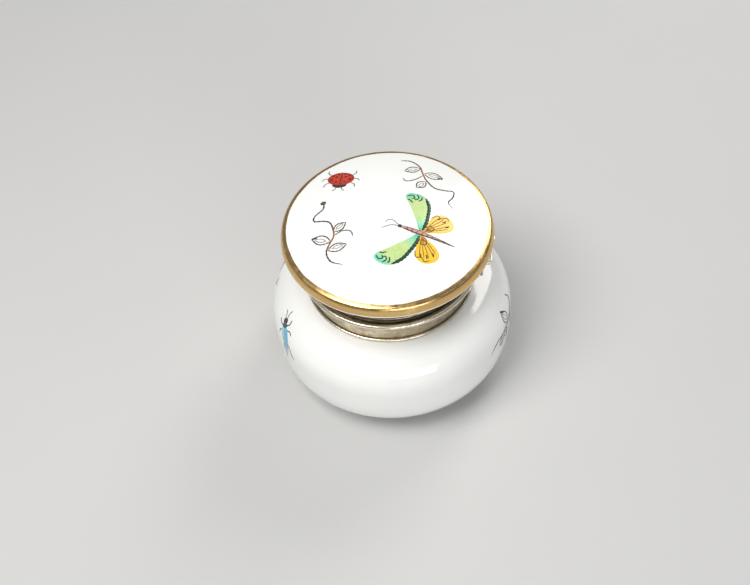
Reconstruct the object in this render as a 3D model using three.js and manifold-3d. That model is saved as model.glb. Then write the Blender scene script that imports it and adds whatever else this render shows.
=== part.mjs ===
// A hinged porcelain pill box: a squat round pot and a shallow domed lid, each cemented into
// a metal mount. The mounts meet at a bead, turn on a pin hinge at the back and close with a
// bow-shaped clasp at the front. Millimetres, +Z up, origin at the middle of the foot, clasp
// at -Y and hinge at +Y.
import * as THREE from "three";
import { mergeVertices } from "three/addons/utils/BufferGeometryUtils.js";
import Module from "manifold-3d";

// ---- Driving dimensions ----

const TURN_STEPS = 48; // facets round the pot's axis; a multiple of 4
const FINE_STEPS = 24; // facets round pins, knuckles and studs

const clearance = {
  seat: 0.1, // between two pieces that are soldered, cemented or laid on each other
  running: 0.06, // all round the pin, inside a knuckle
  knuckleEnd: 0.25, // between neighbouring knuckles
  lidPlay: 0.4, // between the inner lip and the lid's bezel
  lidRest: 0.3, // under the closed bezel
  neckBed: 0.4, // between the top of the neck and the collar's ledge
  overBead: 0.35, // between the bead and whatever swings past it
  notch: 0.15, // round the catch stud, in the tongue's notch
};

const pot = {
  bellyRadius: 25,
  lowerDepth: 13.3, // from the belly down to where the bottom's curve would end
  lowerFullness: 3.8, // 2 is an ellipse, more is squarer
  shoulderRise: 8.8,
  shoulderFullness: 2.5,
  wall: 2.2,
  floor: 2.6,
  neckRadius: 15.6,
  neckWall: 2,
};
const foot = { radius: 14, width: 1.6, recess: 0.9, lift: 0.7 }; // lift: under the bottom's curve

const collar = {
  height: 5.3,
  flare: 1.4, // how much wider the top is than the foot
  hollow: 0.18, // how far the wall curves in between foot and top
  sheet: 0.6,
};
const footWire = { radius: 0.28, lift: 0.1 };
const bead = { radius: 0.5, inset: 0.05 };
const innerLip = { sheet: 0.55, rise: 3 };
const cementGap = 0.4; // between porcelain and metal

const bezel = { sheet: 0.6, height: 5.85 };
const lid = {
  rimRadius: 21.3,
  rimThickness: 2.55,
  rimRound: 0.85, // how far the rim's top edge stands in from its outermost line
  rimFullness: 1.8,
  rimEdge: 0.28, // the small round at the rim's lower edge
  underRise: 1.35, // from the bezel's top to the rim's lower edge
  domeRise: 3.2,
  wall: 2.2,
  skirtWall: 2,
  skirtGap: 1.5, // from the top of the inner lip up to the skirt
};

const hinge = {
  knuckleRadius: 0.95,
  pinRadius: 0.4,
  middleLength: 3.2,
  sideLength: 2.4,
  axisAboveBead: 0.25,
  beadGap: 0.3,
  blockHeight: 1.7,
  leafHeight: 1.2,
};
const tongue = { width: 2.8, sheet: 0.5, armHeight: 0.6, drop: 2.9 };
const stud = { radius: 0.35, tipRadius: 0.25, rise: 0.5 }; // rise: above the tongue's lower end
const bow = {
  knotWidth: 1.5,
  knotDepth: 1.4,
  knotHeight: 1.4,
  loopReach: 2.85,
  loopDepth: 2.3,
  loopWaist: 0.45, // a loop's half-depth at the knot, as a share of its fullest
  ribbon: 0.38,
  ribbonWidth: 1,
  tailLength: 1.8,
  tailWidth: 1.1,
  tailWaist: 0.6, // a tail's width at the knot, as a share of its lower end
  tailCut: 0.45, // depth of the notch in a tail's end
  tailSpread: 38, // degrees from straight down
  tailGap: 0.25,
  belowRim: 1.8, // the knot's middle, under the lower edge of the lid's rim
};

// ---- Places that follow from them ----

const bellyHeight = foot.lift + pot.lowerDepth;
const shoulderTop = bellyHeight + pot.shoulderRise;
const collarFoot = shoulderTop + clearance.seat;
const collarTop = collarFoot + collar.height;
const collarFootRadius = pot.neckRadius + cementGap + collar.sheet;
const collarTopRadius = collarFootRadius + collar.flare;
const neckTop = collarTop - collar.sheet - clearance.neckBed;
const lipOuter = pot.neckRadius;
const lipFoot = neckTop + clearance.seat;
const lipTop = lipFoot + innerLip.rise;
const beadMiddle = collarTopRadius - bead.inset;
const beadHeight = collarTop + bead.radius + clearance.seat / 2;
const beadTop = beadHeight + bead.radius;
const beadOuter = beadMiddle + bead.radius;

const bezelInner = lipOuter + clearance.lidPlay;
const bezelOuter = bezelInner + bezel.sheet;
const bezelFoot = collarTop + clearance.lidRest;
const bezelTop = bezelFoot + bezel.height;
const skirtOuter = bezelInner - cementGap;
const skirtInner = skirtOuter - lid.skirtWall;
const lidUnder = bezelTop + clearance.seat;
const skirtFoot = lipTop + lid.skirtGap;
const rimFoot = lidUnder + lid.underRise;
const rimTop = rimFoot + lid.rimThickness;
const domeRadius = lid.rimRadius - lid.rimRound;

const axisY = beadOuter + hinge.beadGap + hinge.knuckleRadius;
const axisZ = beadTop + hinge.axisAboveBead;
const sideMiddle = hinge.middleLength / 2 + clearance.knuckleEnd + hinge.sideLength / 2;
const hingeWidth = hinge.middleLength + 2 * (clearance.knuckleEnd + hinge.sideLength);

const tongueInner = beadOuter + clearance.overBead;
const tongueOuter = tongueInner + tongue.sheet;
const armFoot = beadTop + 2 * clearance.overBead;
const tongueFoot = armFoot - tongue.drop;
const studHeight = tongueFoot + stud.rise;
const bowFace = tongueOuter + clearance.seat;
const bowHeight = rimFoot - bow.belowRim;
const thumbTop = bowHeight + bow.knotHeight / 2;

// ---- Materials ----

const porcelain = { color: 0xf4f5f1, roughness: 0.12, metalness: 0 };
const plaster = { color: 0xd8d3c6, roughness: 0.9, metalness: 0 };
const agedBrass = { color: 0xa3906a, roughness: 0.38, metalness: 1 };
const brightBrass = { color: 0xd9c39a, roughness: 0.25, metalness: 1 };

// ---- Making solids ----

const wasm = await Module();
wasm.setup();

function mesh(name, geometry, finish) {
  const made = new THREE.Mesh(geometry, new THREE.MeshStandardMaterial(finish));
  made.name = name;
  return made;
}

// A closed profile of [radius, height] pairs, turned about Z.
function turned(profile, steps = TURN_STEPS) {
  const points = profile.map(([radius, height]) => new THREE.Vector2(radius, height));
  return new THREE.LatheGeometry(points, steps).rotateX(Math.PI / 2);
}

// The pairs as points, in anticlockwise order.
function anticlockwise(outline) {
  const points = outline.map(([x, y]) => new THREE.Vector2(x, y));
  return THREE.ShapeUtils.isClockWise(points) ? points.reverse() : points;
}

// A plain band with a square section.
function makeRing(inner, outer, low, high, steps = TURN_STEPS) {
  return turned([[inner, low], [outer, low], [outer, high], [inner, high], [inner, low]], steps);
}

// A flat outline of [x, y] pairs, pushed up along Z from z = 0.
function pushed(outline, depth, hole) {
  const shape = new THREE.Shape(anticlockwise(outline));
  if (hole) shape.holes.push(new THREE.Path(anticlockwise(hole)));
  return new THREE.ExtrudeGeometry(shape, { depth, bevelEnabled: false });
}

// The same outline, drawn in the YZ plane and pushed both ways along X.
function pushedAcross(outline, width) {
  const geometry = pushed(outline, width).translate(0, 0, -width / 2);
  const axes = new THREE.Matrix4().set(0, 0, 1, 0, 1, 0, 0, 0, 0, 1, 0, 0, 0, 0, 0, 1);
  return geometry.applyMatrix4(axes);
}

function solid(geometry) {
  const bare = new THREE.BufferGeometry();
  bare.setAttribute("position", geometry.getAttribute("position"));
  if (geometry.index) bare.setIndex(geometry.index);
  const merged = mergeVertices(bare, 1e-4);
  return new wasm.Manifold(
    new wasm.Mesh({
      numProp: 3,
      vertProperties: merged.attributes.position.array,
      triVerts: new Uint32Array(merged.index.array),
    }),
  );
}

function geometryOf(made) {
  const { vertProperties, triVerts } = made.getMesh();
  const geometry = new THREE.BufferGeometry();
  geometry.setAttribute("position", new THREE.BufferAttribute(vertProperties, 3));
  geometry.setIndex(new THREE.BufferAttribute(triVerts, 1));
  geometry.computeVertexNormals();
  return geometry;
}

function box(low, high) {
  const size = high.map((value, i) => value - low[i]);
  const middle = high.map((value, i) => (value + low[i]) / 2);
  return new THREE.BoxGeometry(...size).translate(...middle);
}

// ---- Curves ----

// A quarter of a rounded square from [inner + reach, from] towards [inner, from + rise].
// The list runs from the first end and stops at the given share of the rise.
function quarter(inner, reach, from, rise, fullness, steps, share = 1) {
  const points = [];
  for (let i = 0; i <= steps; i++) {
    const along = share * Math.sin((Math.PI / 2) * (i / steps));
    const out = Math.pow(Math.max(0, 1 - Math.pow(along, fullness)), 1 / fullness);
    points.push([inner + reach * out, from + rise * along]);
  }
  return points;
}

function circle(x, y, radius, steps) {
  const points = [];
  for (let i = 0; i <= steps; i++) {
    const turn = (2 * Math.PI * i) / steps;
    points.push([x + radius * Math.cos(turn), y + radius * Math.sin(turn)]);
  }
  return points;
}

// An arc about the pot's axis, as [x, y] pairs, from one x to the other, on the side given.
function arcAcross(radius, fromX, toX, side, steps) {
  const points = [];
  for (let i = 0; i <= steps; i++) {
    const x = fromX + ((toX - fromX) * i) / steps;
    points.push([x, side * Math.sqrt(radius * radius - x * x)]);
  }
  return points;
}

function domeHeight(radius) {
  return rimTop + lid.domeRise * (1 - (radius / domeRadius) ** 2);
}

// The collar's outer radius at a height.
function collarOuter(height) {
  const share = (height - collarFoot) / collar.height;
  const straight = collarFootRadius + collar.flare * share;
  return straight - collar.hollow * Math.sin(Math.PI * share);
}

// ---- The pot and its mount ----

function makePot() {
  const { bellyRadius, lowerDepth, lowerFullness } = pot;
  const footShare = Math.pow(1 - (foot.radius / bellyRadius) ** lowerFullness, 1 / lowerFullness);
  const outside = [
    [0, foot.recess],
    [foot.radius - foot.width, foot.recess],
    [foot.radius - foot.width, 0],
    [foot.radius, 0],
    ...quarter(0, bellyRadius, bellyHeight, -lowerDepth, lowerFullness, 9, footShare).reverse(),
    ...quarter(pot.neckRadius, bellyRadius - pot.neckRadius, bellyHeight, pot.shoulderRise,
      pot.shoulderFullness, 8).slice(1),
    [pot.neckRadius, neckTop],
  ];
  const neckInner = pot.neckRadius - pot.neckWall;
  const inRadius = bellyRadius - pot.wall;
  const inside = [
    [neckInner, neckTop],
    ...quarter(neckInner, inRadius - neckInner, bellyHeight, pot.shoulderRise - pot.wall,
      pot.shoulderFullness, 5).reverse(),
    ...quarter(0, inRadius, bellyHeight, pot.floor - lowerDepth, lowerFullness, 8).slice(1),
  ];
  return turned([...outside, ...inside]);
}

function makeCollar() {
  const steps = 5;
  const wall = [];
  for (let i = 0; i <= steps; i++) {
    const height = collarFoot + (collar.height * i) / steps;
    wall.push([collarOuter(height), height]);
  }
  const inside = wall.map(([radius, height]) => [radius - collar.sheet, height]);
  inside[steps][1] = collarTop - collar.sheet;
  const ledgeInner = lipOuter + clearance.seat;
  return turned([
    ...wall,
    [ledgeInner, collarTop],
    [ledgeInner, collarTop - collar.sheet],
    ...inside.reverse(),
    wall[0],
  ]);
}

function makeInnerLip() {
  return makeRing(lipOuter - innerLip.sheet, lipOuter, lipFoot, lipTop);
}

function makeFootWire() {
  const middle = collarOuter(collarFoot + footWire.radius) + clearance.seat + footWire.radius;
  return turned(circle(middle, collarFoot + footWire.radius + footWire.lift, footWire.radius, 8));
}

function makeBead() {
  return turned(circle(beadMiddle, beadHeight, bead.radius, 10));
}

// ---- The hinge ----

function makeKnuckle(length, middleX) {
  const bore = (hinge.pinRadius + clearance.running) / Math.cos(Math.PI / FINE_STEPS);
  const half = length / 2;
  const tube = makeRing(bore, hinge.knuckleRadius, -half, half, FINE_STEPS);
  return tube.rotateY(Math.PI / 2).translate(middleX, axisY, axisZ);
}

function makePin() {
  const half = hingeWidth / 2;
  const profile = [[0, -half], [hinge.pinRadius, -half], [hinge.pinRadius, half], [0, half]];
  return turned(profile, FINE_STEPS).rotateY(Math.PI / 2).translate(0, axisY, axisZ);
}

// The block on the back of the collar that carries the two outer knuckles. Its inner edge is
// relieved where the bead stands out over it.
function makeHingeBlock() {
  const half = hingeWidth / 2;
  const top = axisZ - hinge.knuckleRadius - clearance.seat;
  const hug = collarTopRadius + clearance.seat;
  const back = axisY + hinge.knuckleRadius / 2;
  const outline = [...arcAcross(hug, -half, half, 1, 10), [half, back], [-half, back]];
  const block = pushed(outline, hinge.blockHeight).translate(0, 0, top - hinge.blockHeight);
  const reliefRadius = beadOuter + clearance.seat;
  const reliefFoot = beadHeight - bead.radius - clearance.seat;
  const relief = turned([
    [0, reliefFoot],
    [reliefRadius, reliefFoot],
    [reliefRadius, beadTop],
    [0, beadTop],
  ]);
  return geometryOf(solid(block).subtract(solid(relief)));
}

// The leaf on the back of the bezel that carries the middle knuckle.
function makeLidLeaf() {
  const half = hinge.middleLength / 2;
  const underside = beadTop + clearance.overBead;
  const hug = bezelOuter + clearance.seat;
  const back = axisY - hinge.knuckleRadius - clearance.seat;
  const outline = [...arcAcross(hug, -half, half, 1, 6), [half, back], [-half, back]];
  return pushed(outline, hinge.leafHeight).translate(0, 0, underside);
}

// ---- The lid and its mount ----

function makeLidCap() {
  const { rimRadius, rimRound, rimEdge } = lid;
  const roundFrom = rimFoot + 2 * rimEdge;
  const rim = [
    [bezelOuter, lidUnder],
    [rimRadius - rimEdge, rimFoot],
    [rimRadius, rimFoot + rimEdge],
    ...quarter(domeRadius, rimRound, roundFrom, rimTop - roundFrom, lid.rimFullness, 4),
  ];
  const dome = [];
  const under = [];
  const steps = 8;
  for (let i = 1; i <= steps; i++) {
    const radius = domeRadius * (1 - i / steps);
    dome.push([radius, domeHeight(radius)]);
  }
  for (let i = 0; i <= steps; i++) {
    const radius = (skirtInner * i) / steps;
    under.push([radius, domeHeight(radius) - lid.wall]);
  }
  const skirt = [[skirtInner, skirtFoot], [skirtOuter, skirtFoot], [skirtOuter, lidUnder]];
  return turned([...under, ...skirt, ...rim, ...dome]);
}

function makeBezel() {
  return makeRing(bezelInner, bezelOuter, bezelFoot, bezelTop);
}

// ---- The clasp ----

// An arm out from the bezel over the bead to an upright strip. The strip's lower end is
// notched for the stud, and its upper end is the back of the bow that the thumb lifts.
function makeTongue() {
  const armInner = -(bezelOuter + clearance.seat);
  const armTop = armFoot + tongue.armHeight;
  const bent = pushedAcross(
    [
      [armInner, armFoot],
      [armInner, armTop],
      [-tongueInner, armTop],
      [-tongueInner, thumbTop],
      [-tongueOuter, thumbTop],
      [-tongueOuter, tongueFoot],
      [-tongueInner, tongueFoot],
      [-tongueInner, armFoot],
    ],
    tongue.width,
  );
  const half = stud.radius + clearance.notch;
  const notchTop = studHeight + half;
  const past = 1; // how far the cutting box runs out of the strip
  const low = [-half, -tongueOuter - past, tongueFoot - past];
  const notch = box(low, [half, -tongueInner + past, notchTop]);
  return geometryOf(solid(bent).subtract(solid(notch)));
}

function makeStud() {
  const root = collarOuter(studHeight + stud.radius) + clearance.seat;
  const length = tongueOuter - root;
  const neck = length - stud.radius / 2;
  const profile = [
    [0, 0],
    [stud.radius, 0],
    [stud.radius, neck],
    [stud.tipRadius, length],
    [0, length],
  ];
  return turned(profile, FINE_STEPS).rotateX(Math.PI / 2).translate(0, -root, studHeight);
}

function makeKnot() {
  const { knotWidth, knotDepth, knotHeight } = bow;
  const round = knotWidth / 5;
  const shape = new THREE.Shape();
  const halfW = knotWidth / 2 - round;
  const halfH = knotHeight / 2 - round;
  shape.absarc(halfW, halfH, round, 0, Math.PI / 2);
  shape.absarc(-halfW, halfH, round, Math.PI / 2, Math.PI);
  shape.absarc(-halfW, -halfH, round, Math.PI, 1.5 * Math.PI);
  shape.absarc(halfW, -halfH, round, 1.5 * Math.PI, 2 * Math.PI);
  const options = { depth: knotDepth, bevelEnabled: false, curveSegments: 4 };
  const geometry = new THREE.ExtrudeGeometry(shape, options);
  return geometry.rotateX(Math.PI / 2).translate(0, -bowFace, bowHeight);
}

// A ribbon bent round into a loop, seen from above as a drop that widens away from the knot.
function makeLoop(side) {
  const start = bow.knotWidth / 2 + clearance.seat;
  const half = bow.loopDepth / 2;
  const outer = dropOutline(start, bow.loopReach, half, 14);
  const inset = bow.ribbon;
  const inner = dropOutline(start + inset, bow.loopReach - 2 * inset, half - inset, 14);
  const place = ([x, y]) => [side * x, -bowFace - half - y];
  const geometry = pushed(outer.map(place), bow.ribbonWidth, inner.map(place));
  return geometry.translate(0, 0, bowHeight - bow.ribbonWidth / 2);
}

// Half-widths follow a sine that is narrow at the start and full near the far end.
function dropOutline(start, reach, half, steps) {
  const points = [];
  for (let i = 0; i < steps; i++) {
    const turn = (2 * Math.PI * i) / steps;
    const along = (1 - Math.cos(turn)) / 2;
    const swell = bow.loopWaist + (1 - bow.loopWaist) * along;
    points.push([start + reach * along, half * swell * Math.sin(turn)]);
  }
  return points;
}

function makeTail(side) {
  const half = bow.tailWidth / 2;
  const { tailLength } = bow;
  const pinched = half * bow.tailWaist;
  const outline = [
    [-pinched, 0],
    [pinched, 0],
    [half, -tailLength],
    [0, bow.tailCut - tailLength],
    [-half, -tailLength],
  ];
  const lean = (side * bow.tailSpread * Math.PI) / 180;
  const geometry = pushed(outline, bow.ribbon).rotateX(Math.PI / 2).rotateY(-lean);
  const x = (side * bow.knotWidth) / 4;
  return geometry.translate(x, -bowFace, bowHeight - bow.knotHeight / 2 - bow.tailGap);
}

// ---- The assembly ----

function build() {
  const object = new THREE.Group();
  const base = new THREE.Group();
  const top = new THREE.Group();
  object.add(base, top);

  const film = clearance.seat / 2;
  const cementOuter = pot.neckRadius + cementGap;
  base.add(
    mesh("pot", makePot(), porcelain),
    mesh("pot_cement", makeRing(pot.neckRadius + film, cementOuter - film, collarFoot, neckTop), plaster),
    mesh("pot_collar", makeCollar(), agedBrass),
    mesh("collar_foot_wire", makeFootWire(), brightBrass),
    mesh("collar_bead", makeBead(), brightBrass),
    mesh("inner_lip", makeInnerLip(), agedBrass),
    mesh("base_hinge_block", makeHingeBlock(), agedBrass),
    mesh("base_knuckle_left", makeKnuckle(hinge.sideLength, -sideMiddle), agedBrass),
    mesh("base_knuckle_right", makeKnuckle(hinge.sideLength, sideMiddle), agedBrass),
    mesh("hinge_pin", makePin(), brightBrass),
    mesh("catch_stud", makeStud(), brightBrass),
  );

  top.add(
    mesh("lid_cap", makeLidCap(), porcelain),
    mesh("lid_cement", makeRing(skirtOuter + film, bezelInner - film, skirtFoot, bezelTop), plaster),
    mesh("lid_bezel", makeBezel(), agedBrass),
    mesh("lid_hinge_leaf", makeLidLeaf(), agedBrass),
    mesh("lid_knuckle", makeKnuckle(hinge.middleLength, 0), agedBrass),
    mesh("clasp_tongue", makeTongue(), agedBrass),
    mesh("bow_knot", makeKnot(), brightBrass),
  );
  for (const [word, side] of [["left", -1], ["right", 1]]) {
    top.add(mesh("bow_loop_" + word, makeLoop(side), brightBrass));
    top.add(mesh("bow_tail_" + word, makeTail(side), brightBrass));
  }
  return object;
}

export default build();
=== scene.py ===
import functools
import math

import bmesh
import bpy
import numpy as np
from bpy.props import FloatProperty, FloatVectorProperty, IntProperty, PointerProperty
from mathutils import Matrix, Vector


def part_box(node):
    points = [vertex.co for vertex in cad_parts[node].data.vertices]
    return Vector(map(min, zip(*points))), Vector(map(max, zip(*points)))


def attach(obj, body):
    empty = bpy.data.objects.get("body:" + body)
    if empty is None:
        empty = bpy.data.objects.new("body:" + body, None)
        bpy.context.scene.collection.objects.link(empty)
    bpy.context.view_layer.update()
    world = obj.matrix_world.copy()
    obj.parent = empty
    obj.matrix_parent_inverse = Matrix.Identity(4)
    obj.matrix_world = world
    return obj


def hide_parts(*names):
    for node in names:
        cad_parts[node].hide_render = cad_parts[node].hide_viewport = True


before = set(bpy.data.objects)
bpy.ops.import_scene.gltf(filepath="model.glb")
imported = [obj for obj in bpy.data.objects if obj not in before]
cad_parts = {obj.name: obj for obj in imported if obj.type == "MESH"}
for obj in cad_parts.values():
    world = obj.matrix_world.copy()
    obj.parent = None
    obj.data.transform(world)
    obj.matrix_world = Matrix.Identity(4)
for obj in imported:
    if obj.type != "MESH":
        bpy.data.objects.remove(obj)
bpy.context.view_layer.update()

bl_info = {
    "name": "Porcelain pill box",
    "version": (1, 0, 0),
    "blender": (4, 5, 0),
    "location": "View3D > Sidebar > Pill Box",
    "description": "Builds the finished surfaces, mounts and painting of a hinged porcelain pill box",
    "category": "Object",
}

MM = 0.001
RAD = math.pi / 180
AXIS = 1e-6  # a radius under this is on the axis


def node_box(node):
    """A node's lowest and highest corners, in millimetres."""
    low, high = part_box(node)
    return np.array(low) / MM, np.array(high) / MM


POT_LOW, POT_HIGH = node_box("pot")
COLLAR_LOW, COLLAR_HIGH = node_box("pot_collar")
WIRE_LOW, WIRE_HIGH = node_box("collar_foot_wire")
BEAD_LOW, BEAD_HIGH = node_box("collar_bead")
LIP_LOW, LIP_HIGH = node_box("inner_lip")
POT_CEMENT_LOW, POT_CEMENT_HIGH = node_box("pot_cement")
BEZEL_LOW, BEZEL_HIGH = node_box("lid_bezel")
LID_LOW, LID_HIGH = node_box("lid_cap")
LID_CEMENT_LOW, LID_CEMENT_HIGH = node_box("lid_cement")
BLOCK_LOW, BLOCK_HIGH = node_box("base_hinge_block")
LEAF_LOW, LEAF_HIGH = node_box("lid_hinge_leaf")
PIN_LOW, PIN_HIGH = node_box("hinge_pin")
TONGUE_LOW, TONGUE_HIGH = node_box("clasp_tongue")
STUD_LOW, STUD_HIGH = node_box("catch_stud")
KNOT_LOW, KNOT_HIGH = node_box("bow_knot")


# Where the eye stands: its bearing is VIEW["turn"] degrees past -X, towards the clasp.
VIEW = {
    "turn": 13.0,
    "elevation": 51.2,
    "roll": 4.78,
    "distance": 300.0,
    "lens": 68.05,
    "sensor": 36.0,
    "aim_height": 14.0,
    "slide": (-3.6, 2.04),
}


# ---- Sizes and colours that a user may change ----


def length(name, description, millimetres):
    return FloatProperty(
        name=name, description=description, default=float(millimetres) * MM, unit="LENGTH", precision=5
    )


def colour(name, description, default):
    return FloatVectorProperty(
        name=name, description=description, default=default, size=3, min=0.0, max=1.0, subtype="COLOR"
    )


class PillBoxSizes(bpy.types.PropertyGroup):
    """Sizes of the finished surfaces."""

    lower_depth: length("Lower depth", "From the belly down to where the bottom's curve ends", 13.3)
    lower_fullness: FloatProperty(name="Lower fullness", description="2 is an ellipse", default=3.8)
    shoulder_rise: length("Shoulder rise", "From the belly up to the shoulder's top", 8.8)
    shoulder_fullness: FloatProperty(name="Shoulder fullness", description="2 is an ellipse", default=2.5)
    wall: length("Wall", "Thickness of the porcelain", 2.2)
    floor: length("Floor", "Thickness of the pot's bottom", 2.6)
    neck_wall: length("Neck wall", "Thickness of the porcelain neck and skirt", 2.0)
    foot_radius: length("Foot radius", "Outside of the foot ring", 14.0)
    foot_width: length("Foot width", "Across the foot ring's flat face", 1.6)
    foot_recess: length("Foot recess", "Depth inside the foot ring", 0.9)
    dome_rise: length("Dome rise", "From the rim's top to the lid's top", 3.2)
    rim_thickness: length("Rim thickness", "Height of the lid's rim", 2.55)
    rim_round: length("Rim round", "How far the rim's top stands in", 0.85)
    rim_edge: length("Rim edge", "Round of the rim's lower edge", 0.28)
    under_rise: length("Under rise", "From the bezel up to the rim's lower edge", 1.35)
    sheet: length("Sheet", "Thickness of the mounts' sheet metal", 0.6)
    gilt_foot: length("Gilt foot", "Bare porcelain below the gilt band", 0.42)
    gilt_film: length("Gilt film", "Thickness of the fired gilding", 0.022)
    gilt_waver: length("Gilt waver", "How far the brushed edge of the gilding wanders", 0.1)
    paint_film: length("Paint film", "Thickness of the painted colours", 0.03)
    turns: IntProperty(name="Facets", description="Facets round the axis", default=192, min=24)


class PillBoxColours(bpy.types.PropertyGroup):
    """Colours of the finishes."""

    porcelain: colour("Porcelain", "Glazed porcelain", (0.93, 0.93, 0.905))
    # Cool grey-blue: random cool tone in the glaze, and painted shade on the pot's lower belly towards the foot.
    porcelain_tone_and_shade: colour("Glaze pool", "Where the glaze lies thick", (0.86, 0.885, 0.88))
    gilt: colour("Gilt", "Fired gilding", (0.86, 0.56, 0.22))
    brass: colour("Mount brass", "Aged metal of the mounts", (0.56, 0.49, 0.36))
    # Dark brown: real tarnish in the random blotches, and painted shade at the collar's top and bottom edges.
    tarnish_and_shade: colour("Tarnish", "Dark bloom on the mounts", (0.25, 0.21, 0.15))
    trim: colour("Trim brass", "Polished wires, pin and bow", (0.86, 0.77, 0.62))
    cement: colour("Cement", "Setting cement", (0.78, 0.75, 0.68))
    ink: colour("Ink", "Brown-black pen lines", (0.075, 0.062, 0.05))
    floor: colour("Floor", "Plain pale floor", (0.60, 0.595, 0.585))


def sizes():
    """The length properties in millimetres, and the plain numbers as they are."""
    group = bpy.context.scene.pill_box_sizes
    found = {}
    for key in PillBoxSizes.__annotations__:
        value = getattr(group, key)
        is_length = group.bl_rna.properties[key].unit == "LENGTH"
        found[key] = value / MM if is_length else value
    return found


def colours():
    return bpy.context.scene.pill_box_colours


# ---- Meshes ----


def finish_mesh(name, verts, faces, smooth_angle=40):
    """A mesh object at the origin from points in millimetres, closed and facing outwards."""
    mesh = bpy.data.meshes.new(name)
    mesh.from_pydata([tuple(float(c) * MM for c in v) for v in verts], [], faces)
    bm = bmesh.new()
    bm.from_mesh(mesh)
    bmesh.ops.remove_doubles(bm, verts=bm.verts, dist=1e-8)
    bmesh.ops.recalc_face_normals(bm, faces=bm.faces)
    bm.to_mesh(mesh)
    bm.free()
    mesh.polygons.foreach_set("use_smooth", [True] * len(mesh.polygons))
    mesh.set_sharp_from_angle(angle=smooth_angle * RAD)
    piece = bpy.data.objects.new(name, mesh)
    bpy.context.scene.collection.objects.link(piece)
    return piece


def dress(piece, body, slot, *finishes, replaces=()):
    """Gives a piece its finishes and its place in the model."""
    for finish in finishes:
        piece.data.materials.append(finish)
    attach(piece, body)
    if replaces:
        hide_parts(*replaces)
    return piece


def settle(piece, *modifiers):
    """Turns a piece's modifiers into plain mesh."""
    for kind, values in modifiers:
        modifier = piece.modifiers.new(kind.title(), kind)
        for key, value in values.items():
            setattr(modifier, key, value)
    depsgraph = bpy.context.evaluated_depsgraph_get()
    baked = bpy.data.meshes.new_from_object(piece.evaluated_get(depsgraph))
    piece.modifiers.clear()
    piece.data = baked
    baked.polygons.foreach_set("use_smooth", [True] * len(baked.polygons))
    baked.set_sharp_from_angle(angle=40 * RAD)
    return piece


def quarter(inner, reach, start, rise, fullness, steps, share=1.0):
    """A quarter of a rounded square, from [inner + reach, start] towards [inner, start + rise]."""
    along = share * np.sin(np.linspace(0, math.pi / 2, steps + 1))
    out = np.power(np.clip(1 - np.power(along, fullness), 0, 1), 1 / fullness)
    return np.column_stack([inner + reach * out, start + rise * along])


def circle(x, y, radius, steps):
    turn = np.linspace(0, 2 * math.pi, steps, endpoint=False)
    return np.column_stack([x + radius * np.cos(turn), y + radius * np.sin(turn)])


def rounded(points, radius, closed=True, least_turn=15, steps=5):
    """The outline with every corner sharper than least_turn made an arc-like curve."""
    points = [np.array(p, float) for p in points]
    count = len(points)
    smooth = []
    for i, corner in enumerate(points):
        if not closed and i in (0, count - 1):
            smooth.append(corner)
            continue
        before = points[i - 1] - corner
        after = points[(i + 1) % count] - corner
        reach_before, reach_after = np.linalg.norm(before), np.linalg.norm(after)
        cosine = np.dot(before, after) / (reach_before * reach_after)
        turn = 180 - math.degrees(math.acos(max(-1.0, min(1.0, cosine))))
        if turn < least_turn:
            smooth.append(corner)
            continue
        cut = min(radius * math.tan(turn * RAD / 2), 0.45 * reach_before, 0.45 * reach_after)
        start = corner + before / reach_before * cut
        end = corner + after / reach_after * cut
        for t in np.linspace(0, 1, steps + 1):
            smooth.append((1 - t) ** 2 * start + 2 * t * (1 - t) * corner + t * t * end)
    return np.array(smooth)


def revolve(profile, turns, along_x=None):
    """Points and faces of a profile of [radius, height] turned about Z.

    It ends on the axis at both ends, or it is a closed ring. With along_x=(y, z) it is laid
    along X, through that point.
    """
    on_axis = [p[0] < AXIS for p in profile]
    verts, rows = [], []
    angles = np.linspace(0, 2 * math.pi, turns, endpoint=False)
    for (radius, height), single in zip(profile, on_axis):
        first = len(verts)
        if single:
            verts.append((0.0, 0.0, height))
            rows.append([first] * turns)
        else:
            verts.extend(zip(radius * np.cos(angles), radius * np.sin(angles), [height] * turns))
            rows.append(list(range(first, first + turns)))
    if not (on_axis[0] and on_axis[-1]):
        rows.append(rows[0])
    faces = []
    for low, high in zip(rows, rows[1:]):
        for i in range(turns):
            j = (i + 1) % turns
            corners = [low[i], low[j], high[j], high[i]]
            face = [c for k, c in enumerate(corners) if c != corners[k - 1]]
            if len(face) > 2:
                faces.append(face)
    if along_x:
        verts = [(z, y + along_x[0], -x + along_x[1]) for x, y, z in verts]
    return verts, faces


def turned_piece(name, profile, turns, along_x=None):
    return finish_mesh(name, *revolve(profile, turns, along_x))


def band(inner, outer, low, high, round_edge):
    """A sheet-metal ring's section, with its edges broken."""
    return rounded([(inner, low), (outer, low), (outer, high), (inner, high)], round_edge)


def grid_faces(rows, columns, first=0, wrap=False):
    faces = []
    for i in range(rows - 1):
        for j in range(columns if wrap else columns - 1):
            k = (j + 1) % columns
            a, b = first + i * columns, first + (i + 1) * columns
            faces.append([a + j, a + k, b + k, b + j])
    return faces


def slab(front, back):
    """A closed shell between two grids of points of the same size."""
    rows, columns = front.shape[:2]
    verts = np.concatenate([front.reshape(-1, 3), back.reshape(-1, 3)])
    size = rows * columns
    faces = grid_faces(rows, columns)
    faces += [face[::-1] for face in grid_faces(rows, columns, size)]
    border = [j for j in range(columns)]
    border += [i * columns + columns - 1 for i in range(1, rows)]
    border += [(rows - 1) * columns + j for j in range(columns - 2, -1, -1)]
    border += [i * columns for i in range(rows - 2, 0, -1)]
    for k, a in enumerate(border):
        b = border[(k + 1) % len(border)]
        faces.append([a, a + size, b + size, b])
    return verts, faces


# ---- Finishes ----


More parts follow.
